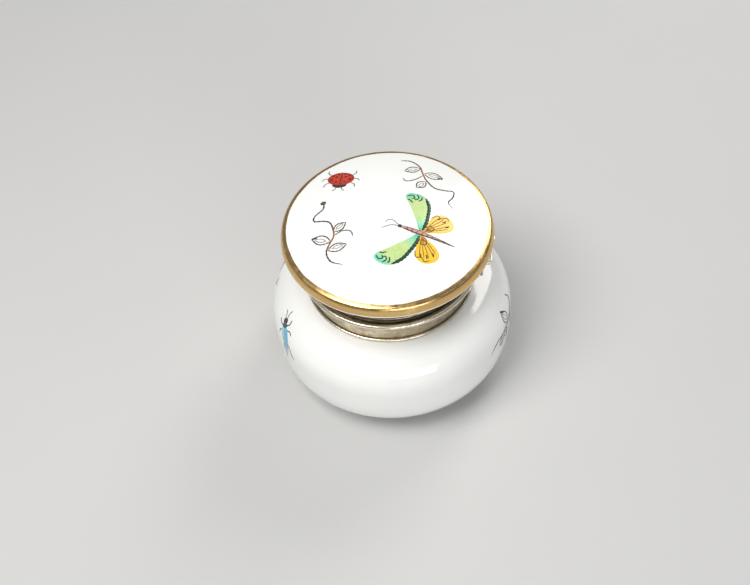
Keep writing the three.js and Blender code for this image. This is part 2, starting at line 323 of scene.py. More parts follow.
class Finish:
    """A node material under construction, with one Principled shader."""

    def __init__(self, name, **constants):
        self.material = bpy.data.materials.new(name)
        self.material.use_nodes = True
        self.tree = self.material.node_tree
        self.shader = self.tree.nodes["Principled BSDF"]
        for key, value in constants.items():
            self.shader.inputs[key.replace("_", " ")].default_value = value
        self.place = self.add("ShaderNodeTexCoord").outputs["Object"]

    def add(self, kind, values=(), **settings):
        node = self.tree.nodes.new(kind)
        for key, value in settings.items():
            setattr(node, key, value)
        for key, value in dict(values).items():
            self.feed(node.inputs[key], value)
        return node

    def feed(self, socket, value):
        if isinstance(value, bpy.types.NodeSocket):
            self.tree.links.new(value, socket)
        else:
            socket.default_value = value

    def noise(self, scale, detail=3.0, stretch=(1, 1, 1), roughness=0.5):
        where = self.add("ShaderNodeMapping", {"Vector": self.place, "Scale": stretch})
        values = {"Vector": where.outputs[0], "Scale": scale, "Detail": detail, "Roughness": roughness}
        return self.add("ShaderNodeTexNoise", values).outputs["Fac"]

    def spread(self, value, low, high, to_low=0.0, to_high=1.0):
        """The value's stretch from low to high, mapped to the second stretch."""
        values = {"Value": value, "From Min": low, "From Max": high, "To Min": to_low, "To Max": to_high}
        return self.add("ShaderNodeMapRange", values).outputs[0]

    def height(self):
        return self.add("ShaderNodeSeparateXYZ", {"Vector": self.place}).outputs["Z"]

    def math(self, operation, first, second):
        return self.add("ShaderNodeMath", {0: first, 1: second}, operation=operation).outputs[0]

    def blend(self, share, first, second, kind="MIX"):
        node = self.add("ShaderNodeMix", data_type="RGBA", blend_type=kind)
        for socket, value in zip([node.inputs[0], node.inputs[6], node.inputs[7]], [share, first, second]):
            if not isinstance(value, (float, int, bpy.types.NodeSocket)):
                value = (*value[:3], 1.0)
            self.feed(socket, value)
        return node.outputs[2]

    def surface(self, colour=None, roughness=None, bump=(), normal=None):
        if colour is not None:
            self.feed(self.shader.inputs["Base Color"], colour)
        if roughness is not None:
            self.feed(self.shader.inputs["Roughness"], roughness)
        for height, depth in bump:
            values = {"Height": height, "Distance": depth * MM, "Strength": 1.0}
            node = self.add("ShaderNodeBump", values)
            if normal is not None:
                self.feed(node.inputs["Normal"], normal)
            normal = node.outputs[0]
        if normal is not None:
            self.feed(self.shader.inputs["Normal"], normal)
        return self.material


def porcelain_finish():
    """White glaze: slightly uneven, with painted shade turning it cool grey towards the foot, and faint orange
    peel.
    """
    paint = colours()
    finish = Finish("glazed_porcelain", Coat_Weight=0.6, Coat_Roughness=0.04, Coat_IOR=1.5, IOR=1.5)
    clouds = finish.noise(90, 2)
    # Painted shade: from 9 mm high down to the foot the glaze turns to the cool grey-blue, because the lower
    # belly lies in shade.
    painted_foot_shade = finish.spread(finish.height(), 0.009, 0.0005)
    share = finish.math("MAXIMUM", finish.spread(clouds, 0.52, 0.85, 0.0, 0.6), painted_foot_shade)
    base = finish.blend(share, paint.porcelain, paint.porcelain_tone_and_shade)
    specks = finish.spread(finish.noise(1500, 1), 0.79, 0.83)
    base = finish.blend(finish.math("MULTIPLY", specks, 0.35), base, (0.42, 0.36, 0.3))
    roughness = finish.spread(finish.noise(160, 3), 0.3, 0.7, 0.06, 0.17)
    peel = finish.noise(420, 2)
    ripple = finish.noise(110, 1)
    return finish.surface(base, roughness, bump=[(peel, 0.006), (ripple, 0.05)])


def biscuit_finish():
    """Unglazed porcelain, on the foot ring's flat face."""
    finish = Finish("bare_biscuit", IOR=1.45)
    grain = finish.noise(2600, 4)
    wear = finish.spread(finish.noise(300, 3), 0.35, 0.7)
    base = finish.blend(wear, (0.8, 0.78, 0.73), (0.62, 0.58, 0.52))
    return finish.surface(base, finish.spread(grain, 0.2, 0.8, 0.65, 0.9), bump=[(grain, 0.02)])


def gilt_finish():
    """Brushed-on gold, fired: streaked round the rim, a little rubbed."""
    paint = colours()
    finish = Finish("fired_gilt", Metallic=1.0)
    streaks = finish.noise(260, 4, stretch=(1, 1, 14))
    rubbed = finish.noise(520, 4)
    deep = [c * 0.78 for c in paint.gilt[:]]
    pale = [min(1, c * 1.1 + 0.08) for c in paint.gilt[:]]
    base = finish.blend(finish.spread(streaks, 0.35, 0.7), deep, paint.gilt)
    base = finish.blend(finish.spread(rubbed, 0.6, 0.78, 0.0, 0.7), base, pale)
    roughness = finish.spread(rubbed, 0.3, 0.75, 0.16, 0.38)
    return finish.surface(base, roughness, bump=[(streaks, 0.012), (rubbed, 0.006)])


def mount_finish():
    """Aged mount metal: turned lines under a mottled bloom of tarnish, with painted shade darkening the collar
    under the bead and at the foot wire.
    """
    paint = colours()
    finish = Finish("aged_mount_brass", Metallic=1.0)
    blotches = finish.noise(620, 5, roughness=0.62)
    clouds = finish.noise(170, 2)
    lines = finish.noise(500, 3, stretch=(1, 1, 26))
    bloom = finish.math("ADD", finish.spread(blotches, 0.42, 0.66), finish.spread(clouds, 0.5, 0.8, 0, 0.5))
    # Painted shade: the collar darkens towards the dark brown in its lowest 0.9 mm by the foot wire and its top
    # 0.8 mm under the bead.
    height = finish.height()
    foot = finish.spread(height, (COLLAR_LOW[2] + 0.9) * MM, COLLAR_LOW[2] * MM)
    top = finish.spread(height, (COLLAR_HIGH[2] - 0.8) * MM, COLLAR_HIGH[2] * MM)
    below_bead = finish.math("LESS_THAN", height, (COLLAR_HIGH[2] + 0.05) * MM)
    corners = finish.math("ADD", foot, finish.math("MULTIPLY", top, below_bead))
    share = finish.math("ADD", finish.math("MULTIPLY", bloom, 0.72), finish.math("MULTIPLY", corners, 0.45))
    share = finish.spread(share, 0.0, 1.25)
    base = finish.blend(share, paint.brass, paint.tarnish_and_shade)
    light = [min(1, c * 1.25 + 0.03) for c in paint.brass[:]]
    base = finish.blend(finish.spread(lines, 0.58, 0.8, 0, 0.5), base, light)
    line_shine = finish.spread(lines, 0.3, 0.7, 0, 0.06)
    roughness = finish.math("ADD", finish.spread(share, 0, 1, 0.27, 0.5), line_shine)
    return finish.surface(base, roughness, bump=[(blotches, 0.02), (lines, 0.012)])


def trim_finish():
    """Wires, pin and bow, kept bright by handling, with some bloom in the hollows."""
    paint = colours()
    finish = Finish("handled_trim_brass", Metallic=1.0)
    bloom = finish.noise(700, 5, roughness=0.6)
    scuffs = finish.noise(1900, 3, stretch=(1, 1, 5))
    dull = [c * 0.55 for c in paint.trim[:]]
    base = finish.blend(finish.spread(bloom, 0.5, 0.72, 0, 0.75), paint.trim, dull)
    scuff_shine = finish.spread(scuffs, 0.3, 0.8, 0, 0.08)
    roughness = finish.math("ADD", finish.spread(bloom, 0.4, 0.75, 0.15, 0.36), scuff_shine)
    return finish.surface(base, roughness, bump=[(scuffs, 0.006), (bloom, 0.01)])


def cement_finish():
    paint = colours()
    finish = Finish("setting_cement", IOR=1.4)
    grain = finish.noise(1700, 5, roughness=0.65)
    stain = finish.noise(260, 3)
    base = finish.blend(finish.spread(grain, 0.35, 0.7), [c * 0.82 for c in paint.cement[:]], paint.cement)
    base = finish.blend(finish.spread(stain, 0.5, 0.8, 0, 0.5), base, (0.55, 0.47, 0.36))
    return finish.surface(base, finish.spread(grain, 0.3, 0.7, 0.75, 0.95), bump=[(grain, 0.08)])


def enamel_finish():
    """Painted overglaze colours, thin and slightly streaky, from the piece's own colours."""
    finish = Finish("overglaze_enamel", Coat_Weight=0.35, Coat_Roughness=0.12, IOR=1.5)
    own = finish.add("ShaderNodeAttribute", attribute_name="paint").outputs["Color"]
    wash = finish.noise(620, 4, stretch=(1, 1.7, 1), roughness=0.6)
    grain = finish.noise(2600, 2)
    light = finish.blend(0.16, own, (0.98, 0.97, 0.92))
    base = finish.blend(finish.spread(wash, 0.52, 0.8, 0, 0.6), own, light)
    pooled = finish.blend(1.0, own, own, "MULTIPLY")
    base = finish.blend(finish.spread(wash, 0.48, 0.25, 0, 0.35), base, pooled)
    roughness = finish.spread(grain, 0.3, 0.7, 0.2, 0.34)
    return finish.surface(base, roughness, bump=[(wash, 0.01), (grain, 0.003)])


def ink_finish():
    """Fine brush lines that thin out where the brush ran dry."""
    finish = Finish("brushed_ink", IOR=1.5)
    own = finish.add("ShaderNodeAttribute", attribute_name="paint").outputs["Color"]
    dry = finish.noise(1100, 4, roughness=0.6)
    faded = finish.blend(0.14, own, (0.55, 0.45, 0.35))
    base = finish.blend(finish.spread(dry, 0.54, 0.78, 0, 0.6), own, faded)
    return finish.surface(base, finish.spread(dry, 0.3, 0.7, 0.25, 0.42), bump=[(dry, 0.006)])


FINISHES = {}


def finish(maker):
    """Each finish is made once."""
    if maker not in FINISHES:
        FINISHES[maker] = maker()
    return FINISHES[maker]


# ---- Outlines of the turned pieces ----


def pot_outside(steps=64):
    """From the foot's outer corner up over the belly to the neck's top, as [radius, height]."""
    s = sizes()
    belly_height = COLLAR_LOW[2] - 0.1 - s["shoulder_rise"]
    belly_radius = POT_HIGH[0]
    neck_radius = LIP_HIGH[0]
    ratio = s["foot_radius"] / belly_radius
    share = (1 - ratio ** s["lower_fullness"]) ** (1 / s["lower_fullness"])
    lower = quarter(0, belly_radius, belly_height, -s["lower_depth"], s["lower_fullness"], steps, share)
    shoulder = quarter(
        neck_radius,
        belly_radius - neck_radius,
        belly_height,
        s["shoulder_rise"],
        s["shoulder_fullness"],
        steps,
    )
    return np.concatenate([lower[::-1], shoulder[1:]])


def pot_profile():
    s = sizes()
    outside = pot_outside()
    belly_height = COLLAR_LOW[2] - 0.1 - s["shoulder_rise"]
    neck_inner = LIP_HIGH[0] - s["neck_wall"]
    in_radius = POT_HIGH[0] - s["wall"]
    foot_inner = s["foot_radius"] - s["foot_width"]
    foot = rounded(
        [
            (0, s["foot_recess"]),
            (foot_inner, s["foot_recess"]),
            (foot_inner, 0),
            (s["foot_radius"], 0),
            outside[0],
        ],
        0.3,
        closed=False,
    )
    upper = quarter(
        neck_inner,
        in_radius - neck_inner,
        belly_height,
        s["shoulder_rise"] - s["wall"],
        s["shoulder_fullness"],
        28,
    )
    lower = quarter(0, in_radius, belly_height, s["floor"] - s["lower_depth"], s["lower_fullness"], 32)
    neck_corners = [outside[-1], (LIP_HIGH[0], POT_HIGH[2]), (neck_inner, POT_HIGH[2]), upper[-1]]
    neck = rounded(neck_corners, 0.5, closed=False)
    return np.concatenate([foot[:-1], outside, neck[1:-1], upper[::-1], lower[1:]])


def rim_outline():
    """The lid's outside, from the bezel's edge round the rim to the middle of the dome."""
    s = sizes()
    rim_radius = LID_HIGH[0]
    rim_top = LID_HIGH[2] - s["dome_rise"]
    rim_foot = rim_top - s["rim_thickness"]
    dome_radius = rim_radius - s["rim_round"]
    round_from = rim_foot + 2 * s["rim_edge"]
    corners = [(BEZEL_HIGH[0], rim_foot - s["under_rise"]), (rim_radius - s["rim_edge"], rim_foot)]
    corners.append((rim_radius, rim_foot + s["rim_edge"]))
    side = quarter(dome_radius, s["rim_round"], round_from, rim_top - round_from, 1.8, 20, 0.93)
    radii = np.linspace(dome_radius - 0.45, 0, 60)
    dome = np.column_stack([radii, dome_height(radii)])
    return np.concatenate([rounded([*corners, side[0]], 0.35, closed=False)[:-1], side, dome])


def dome_height(radius):
    s = sizes()
    dome_radius = LID_HIGH[0] - s["rim_round"]
    return LID_HIGH[2] - s["dome_rise"] * (np.asarray(radius) / dome_radius) ** 2


def lid_profile():
    s = sizes()
    outside = rim_outline()
    skirt_outer = LID_CEMENT_LOW[0] * -1 - 0.35
    skirt_inner = skirt_outer - s["neck_wall"]
    under_z = outside[0][1]
    radii = np.linspace(0, skirt_inner, 24)
    under = np.column_stack([radii, dome_height(radii) - s["wall"]])
    skirt = [
        under[-1],
        (skirt_inner, LID_LOW[2]),
        (skirt_outer, LID_LOW[2]),
        (skirt_outer, under_z),
        outside[0],
    ]
    return np.concatenate([under[:-1], rounded(skirt, 0.4, closed=False), outside[1:]])


# ---- The pot and its mount ----


class PILLBOX_OT_pot(bpy.types.Operator):
    """Throw, glaze and fire the pot"""

    bl_idname = "pillbox.pot"
    bl_label = "Pot"

    def execute(self, context):
        piece = turned_piece("porcelain_pot", pot_profile(), sizes()["turns"])
        dress(piece, "base", "porcelain", finish(porcelain_finish), finish(biscuit_finish), replaces=["pot"])
        for face in piece.data.polygons:
            if face.center.z < 0.12 * MM:
                face.material_index = 1
        return {"FINISHED"}


def collar_outer(height):
    low, high = COLLAR_LOW[2], COLLAR_HIGH[2]
    share = (height - low) / (high - low)
    foot_radius = WIRE_HIGH[0] - 0.65
    flare = COLLAR_HIGH[0] - foot_radius
    return foot_radius + flare * share - 0.18 * np.sin(math.pi * share)


class PILLBOX_OT_pot_mount(bpy.types.Operator):
    """Turn the collar with its ledge, bead, foot wire and inner lip, and bed it in cement"""

    bl_idname = "pillbox.pot_mount"
    bl_label = "Pot mount"

    def execute(self, context):
        s = sizes()
        turns = s["turns"]
        mount, trim = finish(mount_finish), finish(trim_finish)
        heights = np.linspace(COLLAR_LOW[2], COLLAR_HIGH[2], 17)
        wall = np.column_stack([collar_outer(heights), heights])
        inside = wall - [s["sheet"], 0]
        inside[-1][1] = COLLAR_HIGH[2] - s["sheet"]
        ledge = LIP_HIGH[0] + 0.1
        ledge_edge = [(ledge, COLLAR_HIGH[2]), (ledge, COLLAR_HIGH[2] - s["sheet"])]
        section = rounded([*wall, *ledge_edge, *inside[::-1][:-1], inside[0]], 0.14, least_turn=30)
        collar = turned_piece("mount_collar", section, turns)
        dress(collar, "base", "mount_brass", mount, replaces=["pot_collar"])

        for name, node, low, high in (
            ("foot_wire", "collar_foot_wire", WIRE_LOW, WIRE_HIGH),
            ("rim_bead", "collar_bead", BEAD_LOW, BEAD_HIGH),
        ):
            radius = (high[2] - low[2]) / 2
            ring = circle(high[0] - radius, (low[2] + high[2]) / 2, radius, 28)
            dress(turned_piece(name, ring, turns), "base", "trim_brass", trim, replaces=[node])

        lip = band(LIP_HIGH[0] - 0.55, LIP_HIGH[0], LIP_LOW[2], LIP_HIGH[2], 0.2)
        dress(turned_piece("mouth_lip", lip, turns), "base", "mount_brass", mount, replaces=["inner_lip"])
        film = band(LIP_HIGH[0] + 0.05, POT_CEMENT_HIGH[0], POT_CEMENT_LOW[2], POT_CEMENT_HIGH[2], 0.1)
        bed = turned_piece("collar_cement", film, turns)
        dress(bed, "base", "cement", finish(cement_finish), replaces=["pot_cement"])
        return {"FINISHED"}


# ---- The hinge ----


def bar(name, xs, section_at, edge, segments=3):
    """A solid whose section of [y, z] points is worked out at each x, with its edges broken."""
    sections = [section_at(x) for x in xs]
    count = len(sections[0])
    verts = [(x, y, z) for x, section in zip(xs, sections) for y, z in section]
    faces = grid_faces(len(xs), count, wrap=True)
    faces += [list(range(count)), list(range(len(verts) - count, len(verts)))]
    bevel = {"width": edge * MM, "segments": segments, "limit_method": "ANGLE", "angle_limit": 50 * RAD}
    return settle(finish_mesh(name, verts, faces), ("BEVEL", bevel))


def hinge_block():
    """A soldered block that hugs the collar, stepped round the bead, with a swelled back."""
    half = BLOCK_HIGH[0]
    low, high = BLOCK_LOW[2], BLOCK_HIGH[2]
    step = BEAD_LOW[2] - 0.1
    hug, clear = COLLAR_HIGH[0] + 0.1, BEAD_HIGH[0] + 0.1

    def section(x):
        back = BLOCK_HIGH[1] - 0.3 * (x / half) ** 2
        inner, outer = math.sqrt(hug**2 - x**2), math.sqrt(clear**2 - x**2)
        return [(inner, low), (inner, step), (outer, step), (outer, high), (back, high), (back, low)]

    return bar("hinge_block", np.linspace(-half, half, 25), section, 0.14)


def knuckle(name, node):
    low, high = node_box(node)
    axis_y, axis_z = (PIN_LOW[1] + PIN_HIGH[1]) / 2, (PIN_LOW[2] + PIN_HIGH[2]) / 2
    radius = (high[2] - low[2]) / 2
    bore = (PIN_HIGH[2] - PIN_LOW[2]) / 2 + 0.06
    section = rounded([(bore, low[0]), (radius, low[0]), (radius, high[0]), (bore, high[0])], 0.16)
    return turned_piece(name, section, 64, along_x=(axis_y, axis_z))


class PILLBOX_OT_hinge(bpy.types.Operator):
    """Solder the hinge's block, leaf and knuckles and drive the pin"""

    bl_idname = "pillbox.hinge"
    bl_label = "Hinge"

    def execute(self, context):
        mount, trim = finish(mount_finish), finish(trim_finish)
        dress(hinge_block(), "base", "mount_brass", mount, replaces=["base_hinge_block"])
        for side in ("left", "right"):
            node = "base_knuckle_" + side
            dress(knuckle("pot_knuckle_" + side, node), "base", "mount_brass", mount, replaces=[node])
        tube = knuckle("lid_knuckle_tube", "lid_knuckle")
        dress(tube, "lid", "mount_brass", mount, replaces=["lid_knuckle"])

        axis_y, axis_z = (PIN_LOW[1] + PIN_HIGH[1]) / 2, (PIN_LOW[2] + PIN_HIGH[2]) / 2
        radius = (PIN_HIGH[2] - PIN_LOW[2]) / 2
        corners = [(0, PIN_LOW[0]), (radius, PIN_LOW[0]), (radius, PIN_HIGH[0]), (0, PIN_HIGH[0])]
        pin = turned_piece("pin", rounded(corners, 0.25, closed=False), 48, along_x=(axis_y, axis_z))
        dress(pin, "base", "trim_brass", trim, replaces=["hinge_pin"])
        dress(lid_leaf(), "lid", "mount_brass", mount, replaces=["lid_hinge_leaf"])
        return {"FINISHED"}


def lid_leaf():
    """The strap from the bezel to the lid's knuckle."""
    half = LEAF_HIGH[0]
    low, high, back = LEAF_LOW[2], LEAF_HIGH[2], LEAF_HIGH[1]
    hug = BEZEL_HIGH[0] + 0.1

    def section(x):
        inner = math.sqrt(hug**2 - x**2)
        return [(inner, low), (inner, high), (back, high - 0.15), (back, low)]

    return bar("lid_leaf", np.linspace(-half, half, 13), section, 0.14)


# ---- The lid and its mount ----


def gilt_band():
    """A film of gold round the rim, with edges that wander as a brush does."""
    s = sizes()
    outline = rim_outline()
    steps = np.hypot(*np.diff(outline, axis=0).T)
    run = np.concatenate([[0], np.cumsum(steps)])
    bottom_z = LID_HIGH[2] - s["dome_rise"] - s["rim_thickness"] + s["gilt_foot"]
    widest = int(np.argmax(outline[:, 0]))
    start = run[np.argmax(outline[:, 1] > bottom_z)]
    end = run[widest + np.argmax(outline[widest:, 0] < LID_HIGH[0] - s["rim_round"] + 0.05)]
    across, turns = 14, 2 * s["turns"]
    generator = np.random.default_rng(7)
    angles = np.linspace(0, 2 * math.pi, turns, endpoint=False)

    def waver():
        total = np.zeros(turns)
        for wave, size in ((3, 0.5), (7, 0.35), (13, 0.25), (29, 0.18), (61, 0.1)):
            total += size * np.sin(wave * angles + generator.uniform(0, 2 * math.pi))
        return total * s["gilt_waver"]

    low, high = start + waver() * 0.5, end + waver()
    verts = []
    shares = np.linspace(0, 1, across)
    thickness = s["gilt_film"] * np.clip(np.minimum(shares, 1 - shares) * 8, 0.15, 1)
    for lift in (thickness, np.full(across, -0.03)):
        for share, up in zip(shares, lift):
            at = low + (high - low) * share
            r = np.interp(at, run, outline[:, 0])
            z = np.interp(at, run, outline[:, 1])
            ahead_r = np.interp(at + 0.05, run, outline[:, 0]) - np.interp(at - 0.05, run, outline[:, 0])
            ahead_z = np.interp(at + 0.05, run, outline[:, 1]) - np.interp(at - 0.05, run, outline[:, 1])
            norm = np.hypot(ahead_r, ahead_z)
            r = r + up * ahead_z / norm
            z = z - up * ahead_r / norm
            verts.extend(zip(r * np.cos(angles), r * np.sin(angles), z))
    rows = [list(range(i * turns, (i + 1) * turns)) for i in range(2 * across)]
    ring = rows[:across] + rows[across:][::-1]
    faces = []
    for a, b in zip(ring, ring[1:] + ring[:1]):
        faces += [[a[i], a[(i + 1) % turns], b[(i + 1) % turns], b[i]] for i in range(turns)]
    return finish_mesh("gilt_band", verts, faces, smooth_angle=60)


class PILLBOX_OT_lid(bpy.types.Operator):
    """Throw, glaze and fire the lid, and gild its rim"""

    bl_idname = "pillbox.lid"
    bl_label = "Lid"

    def execute(self, context):
        piece = turned_piece("porcelain_lid", lid_profile(), sizes()["turns"])
        dress(piece, "lid", "porcelain", finish(porcelain_finish), replaces=["lid_cap"])
        dress(gilt_band(), "lid", "trim_brass", finish(gilt_finish))
        return {"FINISHED"}


class PILLBOX_OT_lid_mount(bpy.types.Operator):
    """Turn the lid's bezel and bed it in cement"""

    bl_idname = "pillbox.lid_mount"
    bl_label = "Lid mount"

    def execute(self, context):
        s = sizes()
        outer, low, high = BEZEL_HIGH[0], BEZEL_LOW[2], BEZEL_HIGH[2]
        inner = outer - s["sheet"]
        groove = [
            (outer, low + 1.0),
            (outer - 0.1, low + 1.12),
            (outer, low + 1.24),
            (outer, high - 0.9),
            (outer - 0.1, high - 0.78),
            (outer, high - 0.66),
        ]
        corners = [(inner, low), (outer, low), *groove, (outer, high), (inner, high)]
        bezel = turned_piece("lid_band", rounded(corners, 0.16, least_turn=30), s["turns"])
        dress(bezel, "lid", "mount_brass", finish(mount_finish), replaces=["lid_bezel"])
        outer = LID_CEMENT_HIGH[0]
        section = band(outer - 0.3, outer, LID_CEMENT_LOW[2], LID_CEMENT_HIGH[2], 0.1)
        bed = turned_piece("band_cement", section, s["turns"])
        dress(bed, "lid", "cement", finish(cement_finish), replaces=["lid_cement"])
        return {"FINISHED"}


# ---- The clasp ----


STRIP_SHEET = {
    "off_bead": 0.35,
    "arm_above_bead": 0.7,
    "arm_thick": 0.6,
    "notch_above_stud": 0.5,
    "slot_play": 0.15,
}


def tongue():
    """An arm over the bead to an upright strip, forked at the stud and slender at the bow."""
    outer, inner, root = TONGUE_LOW[1], -(BEAD_HIGH[0] + STRIP_SHEET["off_bead"]), TONGUE_HIGH[1]
    foot, top = TONGUE_LOW[2], TONGUE_HIGH[2]
    arm_low = BEAD_HIGH[2] + STRIP_SHEET["arm_above_bead"]
    arm_high = arm_low + STRIP_SHEET["arm_thick"]
    waist = (arm_high + top) / 2
    notch_top = (STUD_LOW[2] + STUD_HIGH[2]) / 2 + STRIP_SHEET["notch_above_stud"]
    section = [
        (root, arm_low, 1.0),
        (root, arm_high, 1.0),
        (inner, arm_high, 1.0),
        (inner, waist, 0.6),
        (inner, top, 0.5),
        (outer, top, 0.5),
        (outer, waist, 0.6),
        (outer, arm_high, 1.0),
        (outer, arm_low, 1.0),
        (outer, notch_top, 1.0),
        (outer, foot, 0.9),
        (inner, foot, 0.9),
        (inner, notch_top, 1.0),
        (inner, arm_low, 1.0),
    ]
    prongs = {9, 10, 11}
    cheeks = (
        (0, 1, 2, 13),
        (13, 2, 7, 8),
        (2, 3, 6, 7),
        (3, 4, 5, 6),
        (12, 13, 8, 9),
        (11, 12, 9, 10),
    )
    half = TONGUE_HIGH[0]
    slot = ((STUD_HIGH[2] - STUD_LOW[2]) / 2 + STRIP_SHEET["slot_play"]) / half
    columns = (-1.0, -slot, slot, 1.0)
    verts = [(share * half * taper, y, z) for share in columns for y, z, taper in section]
    count = len(section)
    faces = []
    for column in range(3):
        a, b = column * count, (column + 1) * count
        for i in range(count):
            if column == 1 and i in prongs:
                continue
            j = (i + 1) % count
            faces.append([a + i, a + j, b + j, b + i])
    faces.append([count + 9, count + 12, 2 * count + 12, 2 * count + 9])
    for column in (1, 2):
        faces.append([column * count + i for i in (9, 10, 11, 12)])
    for column in (0, 3):
        faces += [[column * count + i for i in cheek] for cheek in cheeks]
    edge = {"width": 0.1 * MM, "segments": 3, "limit_method": "ANGLE", "angle_limit": 50 * RAD}
    return settle(finish_mesh("clasp_strip", verts, faces), ("BEVEL", edge))


def knot():
    """The pinched middle of the bow, with gathered pleats."""
    centre, half = (KNOT_LOW + KNOT_HIGH) / 2, (KNOT_HIGH - KNOT_LOW) / 2
    rings, turns = 24, 48
    verts = [(centre[0], centre[1], centre[2] - half[2])]
    for i in range(1, rings):
        tilt = -math.pi / 2 + math.pi * i / rings
        for j in range(turns):
            spin = 2 * math.pi * j / turns
            x = math.copysign(abs(math.cos(tilt)) ** 0.5 * abs(math.cos(spin)) ** 0.6, math.cos(spin))
            y = math.copysign(abs(math.cos(tilt)) ** 0.5 * abs(math.sin(spin)) ** 0.6, math.sin(spin))
            z = math.copysign(abs(math.sin(tilt)) ** 0.7, math.sin(tilt))
            pleat = 1 - 0.06 * (0.5 + 0.5 * math.cos(x * 14)) * (1 - abs(z)) - 0.05 * (1 - z * z)
            place = (half[0] * x * 0.99, half[1] * y * pleat, half[2] * z)
            verts.append(tuple(c + p for c, p in zip(centre, place)))
    verts.append((centre[0], centre[1], centre[2] + half[2]))
    faces = grid_faces(rings - 1, turns, 1, wrap=True)
    last = len(verts) - 1
    faces += [[0, 1 + (j + 1) % turns, 1 + j] for j in range(turns)]
    faces += [[last, last - turns + j, last - turns + (j + 1) % turns] for j in range(turns)]
    return finish_mesh("bow_knot_wrap", verts, faces)


def loop(side):
    """A ribbon loop that widens and rolls away from the knot."""
    low, high = node_box("bow_loop_" + side)
    sign = -1 if side == "left" else 1
    start = min(abs(low[0]), abs(high[0]))
    reach = abs(high[0] - low[0])
    half = (high[1] - low[1]) / 2
    middle_y, middle_z = (low[1] + high[1]) / 2, (low[2] + high[2]) / 2
    thickness, steps = 0.3, 56
    section = rounded([(-0.5, -0.5), (0.5, -0.5), (0.5, 0.5), (-0.5, 0.5)], 0.2, steps=3)
    verts = []
    for i in range(steps):
        turn = 2 * math.pi * i / steps
        along = (1 - math.cos(turn)) / 2
        swell = 0.42 + 0.58 * along**0.8
        inset = thickness / 2
        x = start + inset + (reach - thickness) * along
        y = (half - inset) * swell * math.sin(turn)
        step = 1e-3
        ahead = (1 - math.cos(turn + step)) / 2
        dx = (reach - thickness) * (ahead - along)
        dy = (half - inset) * (0.42 + 0.58 * ahead**0.8) * math.sin(turn + step) - y
        size = math.hypot(dx, dy)
        out_x, out_y = dy / size, -dx / size
        tall = (high[2] - low[2]) * (0.62 + 0.38 * math.sin(math.pi * min(1, along * 0.62)) )
        droop = -0.12 * along
        for a, b in section:
            pinch = 1 - 0.25 * (2 * b) ** 2
            verts.append((
                sign * (x + out_x * a * thickness * pinch),
                middle_y + y + out_y * a * thickness * pinch,
                middle_z + b * tall + droop * b,
            ))
    count = len(section)
    faces = grid_faces(steps, count, wrap=True)
    tail_row = (steps - 1) * count
    faces += [[tail_row + j, tail_row + (j + 1) % count, (j + 1) % count, j] for j in range(count)]
    return finish_mesh("ribbon_loop_" + side, verts, faces)


def tail(side):
    """A ribbon end that waves a little and is cut to a swallow tail."""
    low, high = node_box("bow_tail_" + side)
    sign = -1 if side == "left" else 1
    lean = 38 * RAD
    narrow, wide, cut_depth = 0.33, 0.55, 0.45
    top_x = KNOT_HIGH[0] / 2
    top_z = high[2] - narrow * math.sin(lean)
    length_down = (high[2] - low[2] - (narrow + wide) * math.sin(lean)) / math.cos(lean)
    rows, columns = 17, 9
    front, back = np.zeros((rows, columns, 3)), np.zeros((rows, columns, 3))
    for i in range(rows):
        t = i / (rows - 1)
        half_width = narrow + (wide - narrow) * t
        for j in range(columns):
            across = 2 * j / (columns - 1) - 1
            down = t * length_down - cut_depth * (1 - abs(across)) * t**5
            x = top_x + math.sin(lean) * down + math.cos(lean) * across * half_width
            z = top_z - math.cos(lean) * down + math.sin(lean) * across * half_width
            wave = 0.05 * math.sin(2 * math.pi * t) + 0.04 * across * across
            front[i, j] = (sign * x, low[1] + 0.1 - wave, z)
            back[i, j] = (sign * x, high[1] - 0.06 - wave * 0.5, z)
    piece = finish_mesh("ribbon_tail_" + side, *slab(front, back))
    edge = {"width": 0.05 * MM, "segments": 2, "limit_method": "ANGLE", "angle_limit": 50 * RAD}
    return settle(piece, ("BEVEL", edge))


def stud():
    centre_z = (STUD_LOW[2] + STUD_HIGH[2]) / 2
    radius = (STUD_HIGH[2] - STUD_LOW[2]) / 2
    length_out = STUD_HIGH[1] - STUD_LOW[1]
    dome = quarter(0, radius, length_out - radius * 0.8, radius * 0.8, 2, 10)
    profile = np.concatenate([[(0, 0), (radius * 0.98, 0)], dome])
    verts, faces = revolve(profile, 40)
    verts = [(x, STUD_HIGH[1] - z, centre_z + y) for x, y, z in verts]
    return finish_mesh("catch_button", verts, faces)


class PILLBOX_OT_clasp(bpy.types.Operator):
    """Bend the tongue, tie the bow and set the stud"""

    bl_idname = "pillbox.clasp"
    bl_label = "Clasp"

    def execute(self, context):
        mount, trim = finish(mount_finish), finish(trim_finish)
        dress(tongue(), "lid", "mount_brass", mount, replaces=["clasp_tongue"])
        dress(knot(), "lid", "trim_brass", trim, replaces=["bow_knot"])
        for side in ("left", "right"):
            dress(loop(side), "lid", "trim_brass", trim, replaces=["bow_loop_" + side])
            dress(tail(side), "lid", "trim_brass", trim, replaces=["bow_tail_" + side])
        dress(stud(), "base", "trim_brass", trim, replaces=["catch_stud"])
        return {"FINISHED"}


# ---- Painting ----
# A motif is drawn in millimetres on flat ground, x to the right and y up. A ground maps a
# flat point to a point on the porcelain and the way out of it.


def lid_ground(point):
    """The lid as the eye meets it: x to the eye's right, y away from it."""
    across, away = point
    x, y = facing(away, -across)
    radius = math.hypot(x, y)
    slope = 2 * sizes_once()["dome_rise"] / (LID_HIGH[0] - sizes_once()["rim_round"]) ** 2
    out = np.array([slope * x, slope * y, 1.0])
    return np.array([x, y, float(dome_height_once(radius))]), out / np.linalg.norm(out)


